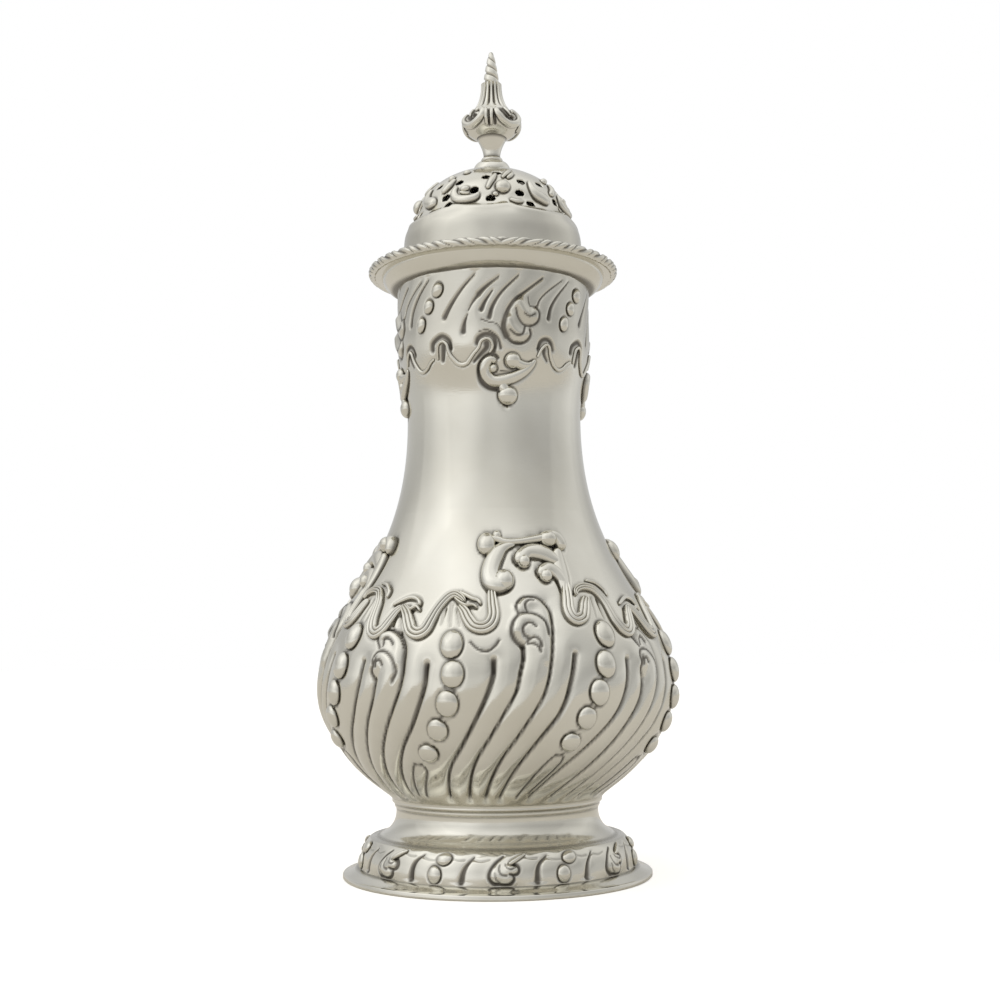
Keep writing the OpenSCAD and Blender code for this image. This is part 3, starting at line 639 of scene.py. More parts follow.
rows = stepped(bodyPath[bodyPath[:, 1] < seamZ], bellyChase["rowZ"], bellyChase["rowStep"])
rows[-1] = seamAt
inner = inside(evenly(chain(bowl, rows), 400), g.bodyWall + bellyChase["backing"])
inner = evenly(inner[inner[:, 1] < seamZ - 0.01], 11)
inner[0, 0] = 0
inner[-1] = [seamAt[0] - g.bodyWall, seamZ]
belly = turned("belly", np.vstack([bowl, rows, inner[::-1]]), bellyChase["columns"])
c, w = bellyChase, scrollWork
field = openField(belly, bodyWall, jointZ + 0.5, seamZ - 3, c["times"])
swell(field, c["swells"])
cutLines(field, c["lobeLines"], c["lobeCut"], c["lobeReach"], rounds=True)
roundLobes(field, c["lobeFall"], c["lobeWide"])
cutLines(field, c["scrollLines"], c["lineCut"])
cutLines(field, w["fans"], c["fanCut"], dark=c["fanDark"])
seatStrips(field, w["ribbons"], *c["ribbonSeat"])
seatStrips(field, w["rolls"], *c["rollSeat"])
seatBeads(field, w["balls"] + c["beads"], *c["beadSeat"])
closeField(field)
finishPiece(belly, "vessel", silver, "body")
raisedPiece("bellyScrolls", "vessel", bodyWall, w["ribbons"], w["rolls"], w["balls"], c["times"])
raisedPiece("bellyBeads", "vessel", bodyWall, [], [], c["beads"], c["times"])

neckChase = {
    "columns": 600, "times": 4, "deepest": 0.6, "paintedShadeBand": (0.16, 122, 131), "fluteReach": 5, "fluteCut": 0.36,
    "lobeFall": 0.32, "lobeWide": 1.3, "lineCut": 0.32, "waveCut": 0.34, "swellFade": 0.3, "widen": 1.2,
    "ridgeSeat": (0.55, 0.25, 0.08), "rollSeat": (0.8, 0.4, 0.15), "beadSeat": (0.95, 0.3),
    "rowZ": [86, 106, 112, 142, 143], "rowStep": [1.8, 1.6, 0.34, 0.34, 1.0],
    "flutes": [  # path, half widths at the top and at the bottom
        ([(-9.8, 141.4), (-18.2, 137.7), (-24.8, 134.1), (-28.8, 131.4)], 0.16, 0.5),
        ([(3.5, 140.5), (-4, 138.1), (-8, 136.4)], 0.2, 0.5),
        ([(-8, 136.4), (-11.6, 134.4), (-14, 132.6)], 0.4, 0.12),
        ([(-14.4, 131.8), (-16.4, 129.6), (-17.2, 127.6)], 0.14, 0.55),
        ([(0, 137.2), (-4.2, 134.7), (-6.5, 132.7)], 0.2, 0.5),
        ([(15, 141), (5.2, 136.9), (0, 133.5), (-2, 130.8)], 0.2, 0.5),
        ([(44.2, 141.1), (33.5, 137.8), (28.2, 135.6), (26.3, 133.9)], 0.16, 0.24),
        ([(50, 141.2), (41.2, 137.4), (35.8, 134.1), (33.8, 131.2)], 0.16, 0.5),
        ([(30, 140.8), (19, 137.2), (13, 135.3), (8.8, 132.7), (6.5, 130.2), (6, 128.1), (7.8, 126.3)],
         0.26, 0.6),
        ([(7.8, 126.3), (11.2, 125), (15.8, 124.7), (19.8, 125.4), (22, 126.9), (21.5, 128.2)], 0.42, 0.3),
    ],
    "lines": [
        ([(13, 132.9), (14.3, 130.8), (17.8, 129.1), (22.8, 129.1), (26.3, 130.3), (27, 132),
          (25.2, 133.6)], 0.24, 0.4),
        ([(9.5, 127.8), (13, 126.7), (16.5, 126.9), (18.2, 128.4)], 0.24, 0.3),
        ([(17.5, 131.8), (20.5, 131.1), (23.8, 131.8)], 0.2, 0.24),
        ([(20.2, 135.9), (21, 133.9), (23.8, 133.5), (26.3, 133.9)], 0.16, 0.24),
        ([(-6.8, 130.4), (-2, 129.6), (2, 129.2), (4.6, 127.8)], 0.2, 0.12),
        ([(-7.8, 127.5), (-3.5, 127.8), (0, 127), (3, 125.7), (4.5, 123.5)], 0.12, 0.34),
        ([(4.2, 118.3), (9, 118.2), (13.5, 118.3), (17.8, 118.8)], 0.2, 0.14),
    ],
    "waves": [  # broad stippled bands either side of the wavy ridge
        ([(-37.8, 124.1), (-36.8, 125.7), (-30.8, 127), (-26.3, 125.8), (-25.5, 124)], 0.5, 0.5),
        ([(-29.8, 124.9), (-30.4, 123.2), (-31.2, 121.4)], 0.62, 0.4),
        ([(-9, 124.8), (-8, 126), (-4, 126.8), (0, 126.3), (1.2, 124.7), (0.2, 122.8)], 0.52, 0.5),
        ([(-3.6, 124.7), (-3.8, 123.6), (-7.5, 122.1), (-11.2, 120.6)], 0.66, 0.3),
        ([(27.2, 123.8), (28.5, 125.5), (32, 126.2), (35.2, 125.5), (36.8, 123.9)], 0.44, 0.44),
        ([(31, 123.8), (31.3, 122.6), (33.4, 121.2)], 0.5, 0.25),
        ([(2.5, 121.3), (0, 122.1), (-4.2, 121.7), (-7.8, 119.9), (-8.6, 118), (-7.2, 115.9), (-3, 114.6),
          (1.6, 114.2)], 0.42, 0.6),
        ([(5.6, 113.2), (6.4, 111.4), (8.6, 110.4)], 0.4, 0.4),
    ],
    "ridges": [
        [(-34.4, 121.6, 0.3, 0.4), (-34, 123.8, 0.36, 0.45), (-33, 125.2, 0.38, 0.5),
         (-29.8, 125.8, 0.4, 0.5), (-27.4, 125, 0.4, 0.5), (-26.7, 123.6, 0.42, 0.5),
         (-25.6, 122.4, 0.46, 0.5), (-23.8, 121.4, 0.5, 0.5), (-21.4, 120.4, 0.55, 0.5),
         (-18.4, 120, 0.55, 0.5), (-15.6, 120.3, 0.5, 0.5), (-13.4, 121.3, 0.46, 0.5),
         (-11.2, 122.4, 0.42, 0.5), (-8.5, 123.6, 0.4, 0.5), (-6.8, 125.2, 0.4, 0.5),
         (-3.7, 125.8, 0.4, 0.5), (-1.2, 125.3, 0.4, 0.5), (-0.4, 123.8, 0.36, 0.45),
         (-2.2, 122.4, 0.25, 0.35)],
        [(26.6, 121.8, 0.25, 0.35), (29, 123.8, 0.36, 0.45), (31.8, 124.9, 0.38, 0.5),
         (34, 124.4, 0.38, 0.5), (35.2, 122.7, 0.38, 0.45), (36.8, 121.4, 0.42, 0.45),
         (39.6, 120, 0.42, 0.45), (42.8, 119.5, 0.42, 0.45), (46.4, 120, 0.4, 0.45),
         (49.6, 121.2, 0.36, 0.4), (53, 122, 0.25, 0.3)],
    ],
    "rolls": [
        [(1.6, 120.2, 0.6, 0.8), (-1.2, 121, 1, 1.1), (-4.6, 119.8, 1.25, 1.3), (-4.4, 117.7, 1.35, 1.4),
         (-1, 116.2, 1.45, 1.4), (4, 116, 1.5, 1.35), (10.5, 116.7, 1.4, 1.2), (17.5, 118, 1.15, 0.95),
         (22.6, 119.6, 0.8, 0.65), (25.6, 121.2, 0.4, 0.3)],
        [(12, 120.6, 1.2, 1.3), (16.5, 119.8, 1.15, 1.1), (21, 119.9, 0.7, 0.7), (24, 120.6, 0.35, 0.4)],
        [(5, 116.2, 0.9, 1), (6.4, 114.4, 1.3, 1.3), (8.4, 112.8, 1.7, 1.6)],
    ],
    "balls": [(0, 118.9, 1, 1.1, 1.2), (11.4, 120.7, 1.9, 1.95, 1.6), (8.8, 112.7, 2.3, 2.3, 1.8)],
    "beads": [(-33, 138.3, 1.42, 1.85, 0.9, -22), (-39.3, 134.6, 1.3, 1.75, 0.85, -16),
              (-45.3, 130.5, 1.25, 1.85, 0.85, -14)],
    "swells": [([(14.6, 134.4), (18, 132), (22.6, 131.2), (24.6, 132.2)], 1.35, 0.95),
               ([(9, 130.2), (10.6, 128.4), (14.4, 126.8), (19, 126.8)], 1.25, 0.9)],
}
neckPath = np.vstack([[seamAt], bodyPath[bodyPath[:, 1] > seamZ + 0.05]])
rows = stepped(neckPath, neckChase["rowZ"], neckChase["rowStep"])
rows[-1] = [g.neckR, mouthZ]
inner = evenly(np.vstack([[seamAt - [g.bodyWall, 0]], inside(rows, g.bodyWall)[2:-1],
                          [[g.neckR - g.bodyWall, mouthZ]]]), 12)
neck = turned("neck", np.vstack([rows, inner[::-1]]), neckChase["columns"], ring=True)
c = neckChase
field = openField(neck, bodyWall, seamZ + 3, mouthZ - g.collarH - 0.1, c["times"])
swell(field, c["swells"], c["swellFade"])
flutes = [(path, top, low * c["widen"]) for path, top, low in c["flutes"]]
waves = [(path, top * c["widen"], low * c["widen"]) for path, top, low in c["waves"]]
cutLines(field, flutes, c["fluteCut"], c["fluteReach"], rounds=True)
roundLobes(field, c["lobeFall"], c["lobeWide"])
cutLines(field, c["lines"], c["lineCut"])
cutLines(field, waves, c["waveCut"])
# painted shade over the upper neck, where the flange above shades it
paintedShadeBand(field, *c["paintedShadeBand"])
seatStrips(field, c["ridges"], *c["ridgeSeat"])
seatStrips(field, c["rolls"], *c["rollSeat"])
seatBeads(field, c["balls"] + c["beads"], *c["beadSeat"])
field["height"] = np.maximum(field["height"], -c["deepest"])
closeField(field)
finishPiece(neck, "vessel", silver, "body")
raisedPiece("neckScrolls", "vessel", bodyWall, [], c["ridges"] + c["rolls"], c["balls"] + c["beads"],
            c["times"])

# foot, rim and collar
footPath = chain(
    [[g.footR, g.rimShoulder - g.rimSeat]],
    bend([[g.footR, g.rimShoulder], [g.footR + 0.1, g.rimShoulder + g.bandH * 0.4],
          [g.footR - g.bandIn * 0.3, g.rimShoulder + g.bandH * 0.85],
          [g.footR - g.bandIn, ledgeZ]], 44),
    bend([[g.footR - g.bandIn - g.ledge, ledgeZ + 0.02],
          [g.footWaistR + 2, ledgeZ + g.footWaistRise * 0.15],
          [g.footWaistR, ledgeZ + g.footWaistRise * 0.5], [g.footWaistR, footWaistZ]], 26),
    bend([[g.footWaistR, footWaistZ], [g.footWaistR, footWaistZ + g.jointRise * 0.5],
          [jointR - 0.3, jointZ - g.jointRise * 0.3], landOut], 26))
footRings = {"rings": [(jointZ - 0.9, 0.3), (jointZ - 2.0, 0.22), (ledgeZ + 0.9, 0.25)], "wide": 0.34}
aboveLedge = footPath[:, 1] > ledgeZ + 0.05
for ringAt, ringUp in footRings["rings"]:
    footPath[:, 0] += ringUp * np.exp(-((footPath[:, 1] - ringAt) / footRings["wide"]) ** 2) * aboveLedge
footWall = wallOf(footPath)
footInner = inside(evenly(footPath, 200), g.footWall)
footInner = evenly(footInner[footInner[:, 1] < landIn[1] - g.footWall / 2], 14)
footInner[:, 1] = np.maximum(footInner[:, 1], footPath[0, 1])
footChase = {
    "columns": 704, "times": 7, "deepest": 0.65, "fluteCut": 0.45, "fluteReach": 4.0, "lobeFall": 0.3,
    "lobeWide": 1.3, "scrollCut": 0.42, "scrollDark": 1.0, "veinCut": 0.3, "veinDark": 0.8,
    "scallopCut": 0.2, "scallopDark": 0.35, "rollSeat": (0.7, 0.26), "beadSeat": (0.95, 0.34),
    "fadeIn": 0.15, "fadeOver": (0.6, 0.7),
    "flutes": [([(20.2, 8.7), (17.4, 7.4), (16, 5.8), (15.6, 3.2)], 0.2, 0.75),
               ([(42.2, 8.6), (39.6, 7), (38.2, 5.4), (37.4, 3.1)], 0.2, 0.7)],
    "scrolls": [([(2.4, 8.7), (-0.6, 7.4), (-2.7, 5.8), (-3.2, 4.4), (-1.8, 3.2), (0.6, 2.75)], 0.25, 0.5),
                ([(0.6, 2.75), (4.2, 2.8), (6.2, 3.7), (6, 4.8), (4.6, 5.1)], 0.5, 0.25),
                ([(6, 4.8), (7.8, 5.1), (8.5, 6), (7.8, 6.8), (6.2, 7.2)], 0.3, 0.5)],
    "veins": [([(0.9, 7), (0.7, 5.9), (1.6, 5), (3.4, 4.8)], 0.16, 0.3),
              ([(3, 7.2), (3.6, 6.4), (5.2, 6), (6.4, 6.3)], 0.14, 0.24),
              ([(9.6, 8.9), (7.6, 8.1), (4.6, 7.3)], 0.14, 0.2),
              ([(-0.8, 5.4), (-0.6, 4.2), (0.8, 3.5)], 0.14, 0.2)],
    "scallops": [([(10.5, 8.7), (13, 8.2), (16.2, 8.2)], 0.2, 0.3),
                 ([(20.2, 8.2), (23, 7.7), (26.4, 7.6)], 0.3, 0.2),
                 ([(33.2, 8.2), (36, 7.8), (38.6, 7.9)], 0.2, 0.3),
                 ([(42.2, 8.1), (45.4, 7.7), (48.6, 8.1)], 0.3, 0.2)],
    "rolls": [[(11.4, 9.1, 0.3, 0.3), (8.9, 8.5, 0.5, 0.5), (6, 7.6, 0.55, 0.6), (4.4, 7.1, 0.3, 0.5)]],
    "beads": [(30, 8, 1.75, 1.4, 0.75, 20), (26.5, 4.6, 1.55, 1.95, 0.8, 0)],
    "swells": [([(0, 4.7), (3.2, 4.2)], 1.8, 0.85), ([(4.8, 6.3), (6.4, 6)], 1.1, 0.6)],
}
foot = turned("footShell", np.vstack([footPath, [landIn], footInner[::-1]]), footChase["columns"],
              ring=True)
c = footChase
field = openField(foot, footWall, g.rimShoulder + c["fadeIn"], ledgeZ - 0.05, c["times"])
swell(field, c["swells"], 0)
cutLines(field, c["flutes"], c["fluteCut"], c["fluteReach"], rounds=True)
roundLobes(field, c["lobeFall"], c["lobeWide"])
for mark in ("scroll", "vein", "scallop"):
    cutLines(field, c[mark + "s"], c[mark + "Cut"], dark=c[mark + "Dark"])
seatStrips(field, c["rolls"], *c["rollSeat"])
seatBeads(field, c["beads"], *c["beadSeat"])
field["height"] = np.maximum(field["height"], -c["deepest"])
field["height"] *= np.clip((field["z"] - g.rimShoulder - c["fadeIn"]) / c["fadeOver"][0], 0, 1)
field["height"] *= np.clip((ledgeZ - field["z"]) / c["fadeOver"][1], 0, 1)
closeField(field)
# painted dark rings in the cove's turned steps: shade with tarnish, and streaks of reflection
darkRings(foot, [(ledgeZ + 0.25, 0.3, 0.5), (jointZ - 1.45, 0.25, 0.45), (jointZ - 2.6, 0.25, 0.4)])
finishPiece(foot, "vessel", silver, "foot")
raisedPiece("footScrolls", "vessel", footWall, [], c["rolls"], c["beads"], c["times"])

seatZ = g.rimShoulder - g.rimSeat
rimPath = chain(
    [[g.footR - g.rimLedge, 0], [g.footR + g.rimOut - 0.25, 0], [g.footR + g.rimOut, 0.25],
     [g.footR + g.rimOut, g.rimEdge - 0.2]],
    bend([[g.footR + g.rimOut - 0.15, g.rimEdge], [g.footR + g.rimOut * 0.65, g.rimEdge],
          [g.footR + g.rimOut * 0.3, g.rimShoulder], [g.footR, g.rimShoulder]], 14),
    [[g.footR, seatZ], [g.footR - g.rimLedge, seatZ]])
rim = darkRings(turned("footRim", rimPath, facesRound["plain"], ring=True), [(g.rimShoulder, 0.25, 0.6)])
finishPiece(rim, "vessel", silver, "foot_rim", sharp=40)

lowZ = mouthZ - g.collarH
rise = g.collarOut - g.collarLip
collarPath = chain(
    [[g.neckR, lowZ]],
    bend([[g.neckR + g.collarLip, lowZ], [g.neckR + g.collarLip + rise * 0.45, lowZ + g.collarH * 0.12],
          [g.neckR + g.collarOut - rise * 0.08, lowZ + g.collarH * 0.5], [g.neckR + g.collarOut, mouthZ]],
         16),
    [[g.neckR, mouthZ]])
collar = darkRings(turned("neckCollar", collarPath, facesRound["plain"], ring=True), [(lowZ, 0.4, 0.8)])
finishPiece(collar, "vessel", silver, "neck_collar", sharp=40)

# cover: flange, gadrooned border, pierced dome
collarR = g.neckR + g.collarOut
flangeR = collarR + g.flangeOut
bezelIn = g.neckR - g.bodyWall - g.bezelGap - g.bezelWall
flangeBore = min(g.domeR - g.domeWall, bezelIn) - g.flangeInside
flangePath = np.array([[flangeBore, mouthZ], [flangeR, mouthZ], [flangeR, flangeZ], [flangeBore, flangeZ]])
flange = turned("coverFlange", flangePath, facesRound["plain"], ring=True)
finishPiece(flange, "cover", silver, "cover_flange", sharp=40)

gadroon = {"lobes": 72, "columnsPerLobe": 16, "around": 20, "cut": 0.42, "cutWide": 0.42, "slant": 1.5,
           "alternate": 0.18, "dark": 0.9, "darkWide": 0.3, "smoothBelow": -1.1, "smoothOver": 0.4,
           "leanFrom": 4, "uneven": [(0.16, 11), (0.1, 29)]}
borderR = flangeR + g.borderD / 2 - g.flangeT * 0.5
turnsAt = np.linspace(0, 2 * pi, gadroon["around"], endpoint=False)
wire = np.stack([borderR + g.borderD / 2 * np.cos(turnsAt),
                 mouthZ + g.borderD / 2 * (1 + np.sin(turnsAt))], 1)
border = turned("gadroonBorder", wire, gadroon["lobes"] * gadroon["columnsPerLobe"], ring=True)
co = pointsOf(border)
flat = np.hypot(co[:, 0], co[:, 1])
angle = np.degrees(np.arctan2(co[:, 0], -co[:, 1]))
off, up = flat - borderR, co[:, 2] - mouthZ - g.borderD / 2
section = np.arctan2(up, off)
side = np.sign((angle - gadroon["leanFrom"]) % 180 - 90)  # the lobes lean away from the middle of each half
uneven = sum(amount * np.sin(np.radians(angle * waves)) for amount, waves in gadroon["uneven"])
fold = angle / 360 * gadroon["lobes"] + side * gadroon["slant"] * section / pi + uneven
fold += gadroon["alternate"] * np.sin(pi * fold)  # broad and narrow lobes by turns
notch = np.abs(np.sin(pi * fold))
upper = np.clip((up - gadroon["smoothBelow"]) / gadroon["smoothOver"], 0, 1)  # the under side is smooth
shrink = 1 - gadroon["cut"] * np.exp(-(notch / gadroon["cutWide"]) ** 2) * upper
co[:, :2] *= ((borderR + off * shrink) / flat)[:, None]
co[:, 2] = mouthZ + g.borderD / 2 + up * shrink
movePoints(border, co)
# tarnish and painted shade in the notches between the lobes, on the upper side
setRecess(border, gadroon["dark"] * np.exp(-(notch / gadroon["darkWide"]) ** 2) * upper)
finishPiece(border, "cover", silver, "gadroon_border", sharp=80)

domePath = chain(
    [[g.domeR, flangeZ]],
    bend([[g.domeR, flangeZ + g.domeBandH * 0.15],
          [g.domeR + g.domeBandIn * 0.08, flangeZ + g.domeBandH * 0.5],
          [g.domeR + g.domeBandIn * 0.4, capZ - g.domeBandH * 0.1], [capR, capZ]], 60))
tilt = np.linspace(0, np.arccos(g.buttonR / capR), 160)[1:]
domeCap = np.stack([capR * np.cos(tilt), capZ + g.capH * np.sin(tilt)], 1)
domePath = evenly(np.vstack([domePath, domeCap]), 300)
domeCrease = {"reach": 3.2, "halfSpan": 22}  # the chased rim softens the crease
crease = np.exp(-((domePath[:, 1] - capZ) / domeCrease["reach"]) ** 2)[:, None]
span = 2 * domeCrease["halfSpan"] + 1
softer = np.stack([np.convolve(np.pad(line, domeCrease["halfSpan"], "edge"), np.ones(span) / span, "valid")
                   for line in domePath.T], 1)
domePath += (softer - domePath) * crease
domeChase = {
    "columns": 512, "times": 4, "paintedShadeBand": (0.14, 160.5, 158), "rollSeat": (0.85, 0.34, 0.12),
    "ballSeat": (0.95, 0.34, 0.12), "rimWide": 0.9, "rimLift": 0.35,
    "holeR": 1.05, "holeWide": 1.15, "holeTall": 0.9, "rowZ": [147, 156, 157.5, 174],
    "rowStep": [1.2, 1.0, 0.32, 0.32],
    "holes": [(-1, 160.7), (27.8, 159.8), (20.8, 162.5), (-13.2, 163.2), (24, 165.9), (-4.5, 167),
              (4.6, 168.5), (-31.8, 159.9), (-36, 162.2), (-27, 166), (42, 166.2)],
    "rolls": [
        [(-27.8, 164.7, 0.5, 0.5), (-28.8, 162.8, 0.9, 0.8), (-25.8, 161.3, 1.15, 1),
         (-19.4, 160.7, 1.25, 1.05), (-13.6, 160.9, 1.1, 0.95), (-10.8, 161.7, 0.85, 0.8),
         (-11.6, 162.2, 0.6, 0.6)],
        [(-24, 162.9, 0.35, 0.6), (-20, 162.4, 0.45, 0.7), (-16, 162.3, 0.35, 0.6)],
        [(3.2, 167.8, 0.45, 0.55), (0.2, 166, 0.8, 0.8), (-3.4, 163.3, 0.5, 0.5)],
        [(31.3, 166.3, 0.5, 0.5), (31.4, 164.4, 0.9, 0.8), (34.4, 162.6, 1.4, 1.05),
         (40, 161.8, 1.6, 1.15), (45.4, 161.2, 1.3, 0.95)],
        [(8.5, 166.6, 0.35, 0.45), (13, 168.2, 0.7, 0.7), (18, 169.6, 0.6, 0.6)],
        [(12.6, 166.4, 0.4, 0.5), (16, 167.4, 0.6, 0.65), (20, 168.6, 0.4, 0.5)],
        [(-32.6, 167.2, 0.5, 0.5), (-35.2, 165.2, 0.9, 0.85), (-40.4, 163.6, 0.7, 0.6)],
        [(12.4, 160.6, 0.4, 0.4), (17.2, 160, 0.6, 0.55), (22.4, 160.2, 0.4, 0.4)],
    ],
    "rim": [(-46, 158.2), (-37, 158.6), (-26, 159.2), (-16, 158.5), (-1.5, 158.2), (10.5, 158.8),
            (17, 158.2), (28, 157.8), (38, 157.8), (46, 158.2)],
    "balls": [(8, 163.9, 1.85, 1.85, 1.45), (-20.6, 163.7, 1.2, 0.85, 0.8), (-37.5, 167.8, 0.9, 0.9, 0.8),
              (-25, 169.2, 0.9, 0.8, 0.7), (2.6, 161.9, 0.7, 0.6, 0.5)],
}
domePath = stepped(domePath, domeChase["rowZ"], domeChase["rowStep"])
domeWall = wallOf(domePath)
dome = turned("coverDome", domePath, domeChase["columns"])
c = domeChase
field = openField(dome, domeWall, flangeZ + 0.3, crownZ - 0.3, c["times"])
seatStrips(field, c["rolls"], *c["rollSeat"])
seatBeads(field, c["balls"], *c["ballSeat"])
swell(field, [(c["rim"], c["rimWide"], c["rimLift"])], 0)
# painted shade over the dome band below the chased rim
paintedShadeBand(field, *c["paintedShadeBand"])
holeGap = np.full(len(field["pick"]), 1e9)  # how far each point is from the nearest piercing
for a0, z0 in c["holes"]:
    x, y = flatFrom(field, a0, z0)
    holeGap = np.minimum(holeGap, np.hypot(x / c["holeWide"], y / c["holeTall"]))
closeField(field)
gap = np.full(len(dome.data.vertices), 1e9)
gap[field["pick"]] = holeGap
bm = bmesh.new()
bm.from_mesh(dome.data)
bm.verts.ensure_lookup_table()
gone = [f for f in bm.faces if sum(gap[v.index] for v in f.verts) / len(f.verts) < c["holeR"]]
bmesh.ops.delete(bm, geom=gone, context="FACES")
lip = [v for v in bm.verts if v.is_boundary and gap[v.index] < 1e8]
for again in range(2):
    bmesh.ops.smooth_vert(bm, verts=lip, factor=0.5, use_axis_x=True, use_axis_y=True, use_axis_z=True)
bm.to_mesh(dome.data)
bm.free()
wall = dome.modifiers.new("wall", "SOLIDIFY")
wall.thickness = g.domeWall * mm
wall.offset = -1
finishPiece(dome, "cover", silver, "cover_dome", sharp=75)
raisedPiece("domeScrolls", "cover", domeWall, [], c["rolls"], c["balls"], c["times"])

# finial
buttonPath = chain(
    [[g.tangR + g.tangGap, crownZ]],
    bend([[g.buttonR, crownZ], [g.buttonR, crownZ + g.buttonH * 0.6],
          [g.buttonR - (g.buttonR - g.ringR) * 0.5, buttonZ], [g.ringR, buttonZ]], 14),
    [[g.tangR + g.tangGap, buttonZ]])
button = darkRings(turned("finialButton", buttonPath, facesRound["finial"], ring=True),
                   [(crownZ, 0.4, 0.8), (buttonZ, 0.2, 0.5)])
finishPiece(button, "cover", silver, "finial_button", sharp=45)

tangZ = crownZ - g.domeWall - g.tangEnd
stemPath = chain(
    [[0, tangZ], [g.tangR, tangZ], [g.tangR, buttonZ]],
    bend([[g.ringR - g.ringH * 0.3, buttonZ], [g.ringR, buttonZ + g.ringH * 0.2],
          [g.ringR, ringZ - g.ringH * 0.3], [g.stemWaistR, ringZ]], 12),
    bend([[g.stemWaistR, ringZ], [g.stemWaistR, ringZ + g.stemH * 0.4],
          [g.stemTopR - g.stemH * 0.15, knopZ - g.stemH * 0.3], [g.stemTopR, knopZ]], 16),
    [[0, knopZ]])
stem = darkRings(turned("finialStem", stemPath, facesRound["finial"]),
                 [(buttonZ, 0.3, 0.7), (ringZ, 0.35, 0.7), (knopZ, 0.5, 0.9)])
finishPiece(stem, "cover", silver, "finial_stem", sharp=45)

knopWide = knopZ + g.knopH * 0.45
knopPath = chain(
    bend([[g.stemTopR, knopZ], [g.knopR * 0.85, knopZ + g.knopH * 0.12],
          [g.knopR, knopWide - g.knopH * 0.2], [g.knopR, knopWide]], 30),
    bend([[g.knopR, knopWide], [g.knopR, cupZ - g.knopH * 0.2],
          [g.cupR + g.cupH * 0.01, cupZ - g.knopH * 0.22], [g.cupR, spireZ]], 90))
knopWall = wallOf(knopPath)
leaf = {
    "columns": 384, "times": 4, "flutes": 16, "fluteCut": 0.34, "fluteFrom": 1.0, "fluteOver": 1.6,
    "fadeOver": 1.2, "slotCut": 0.6, "petalSeat": (0.8, 0.3),
    "petals": [
        [(10, 188.4, 0.5, 0.5), (12, 186.9, 0.75, 0.7), (22, 185.3, 0.85, 0.75), (40, 184.5, 0.9, 0.8),
         (58, 185, 0.9, 0.85), (70, 186.3, 0.85, 0.85), (70, 187.7, 0.75, 0.8), (60, 188.4, 0.6, 0.7),
         (52, 187.8, 0.4, 0.5)],
        [(-14, 188.4, 0.4, 0.5), (-12, 187, 0.5, 0.5), (-11, 185.2, 0.45, 0.4), (-10, 183.9, 0.3, 0.3)],
        [(0, 188.4, 0.4, 0.5), (0, 187, 0.45, 0.5), (0, 185.2, 0.4, 0.4), (0, 183.9, 0.3, 0.3)],
        [(34, 189, 0.3, 0.4), (38, 187.6, 0.35, 0.4), (42, 186.6, 0.25, 0.3)],
    ],
    "slots": [([(-5.5, 188), (-5.5, 186), (-5, 183.8)], 0.42, 0.3),
              ([(5.5, 188), (6.5, 186), (9, 184)], 0.46, 0.3),
              ([(26, 188.2), (32, 187), (40, 186), (52, 186.3)], 0.9, 0.5),
              ([(44, 188.4), (46, 187.2), (54, 186.6)], 0.6, 0.5)],
}
knop = turned("finialKnop", np.vstack([[[0, knopZ]], knopPath, [[0, spireZ]]]), leaf["columns"])
field = openField(knop, knopWall, knopZ + 0.4, spireZ - 0.01, leaf["times"])
high = np.clip((field["z"] - cupZ + leaf["fluteFrom"]) / leaf["fluteOver"], 0, 1)
fade = np.clip((spireZ - field["z"]) / leaf["fadeOver"], 0, 1)
wave = np.cos(np.radians(field["angle"] * leaf["flutes"]))
field["height"] -= high * leaf["fluteCut"] * np.clip(0.5 - wave, 0, 1.5)
# tarnish and painted shade in the cup's flutes
field["dark"] = high * np.clip(-wave * 1.7 - 0.25, 0, 1) * fade
cutLines(field, leaf["slots"], leaf["slotCut"], dark=1.0)
seatStrips(field, leaf["petals"], *leaf["petalSeat"])
closeField(field)
finishPiece(knop, "cover", silver, "finial_knop", sharp=70)
raisedPiece("knopLeaves", "cover", knopWall, [], leaf["petals"], [], leaf["times"])

spire = {"lobes": 2, "twist": 720, "rows": 90, "columns": 64, "tip": 0.3, "taper": 0.62,
         "cut": 0.24, "cutWide": 0.42, "dark": 0.7, "darkWide": 0.28}
t = np.linspace(0, 1, spire["rows"])
shape = g.spireR * (1 - t) ** spire["taper"] * (1 - spire["tip"] / g.spireR) + spire["tip"]
spirePath = np.vstack([[[0, spireZ]], np.stack([shape, spireZ + t * g.spireH], 1),
                       [[0, spireZ + g.spireH]]])
flame = turned("finialSpire", spirePath, spire["columns"])
co = pointsOf(flame)
part = np.clip((co[:, 2] - spireZ) / g.spireH, 0, 1)
a = np.arctan2(co[:, 1], co[:, 0])
lobe = np.abs(np.cos(spire["lobes"] / 2 * (a + np.radians(spire["twist"]) * part)))
co[:, :2] *= (1 - spire["cut"] * np.exp(-(lobe / spire["cutWide"]) ** 2))[:, None]
movePoints(flame, co)
# tarnish and painted shade along the twist's grooves
setRecess(flame, spire["dark"] * np.exp(-(lobe / spire["darkWide"]) ** 2))
finishPiece(flame, "cover", silver, "finial_spire", sharp=80)

nodes["cover_bezel"].data.materials.clear()
nodes["cover_bezel"].data.materials.append(silver)

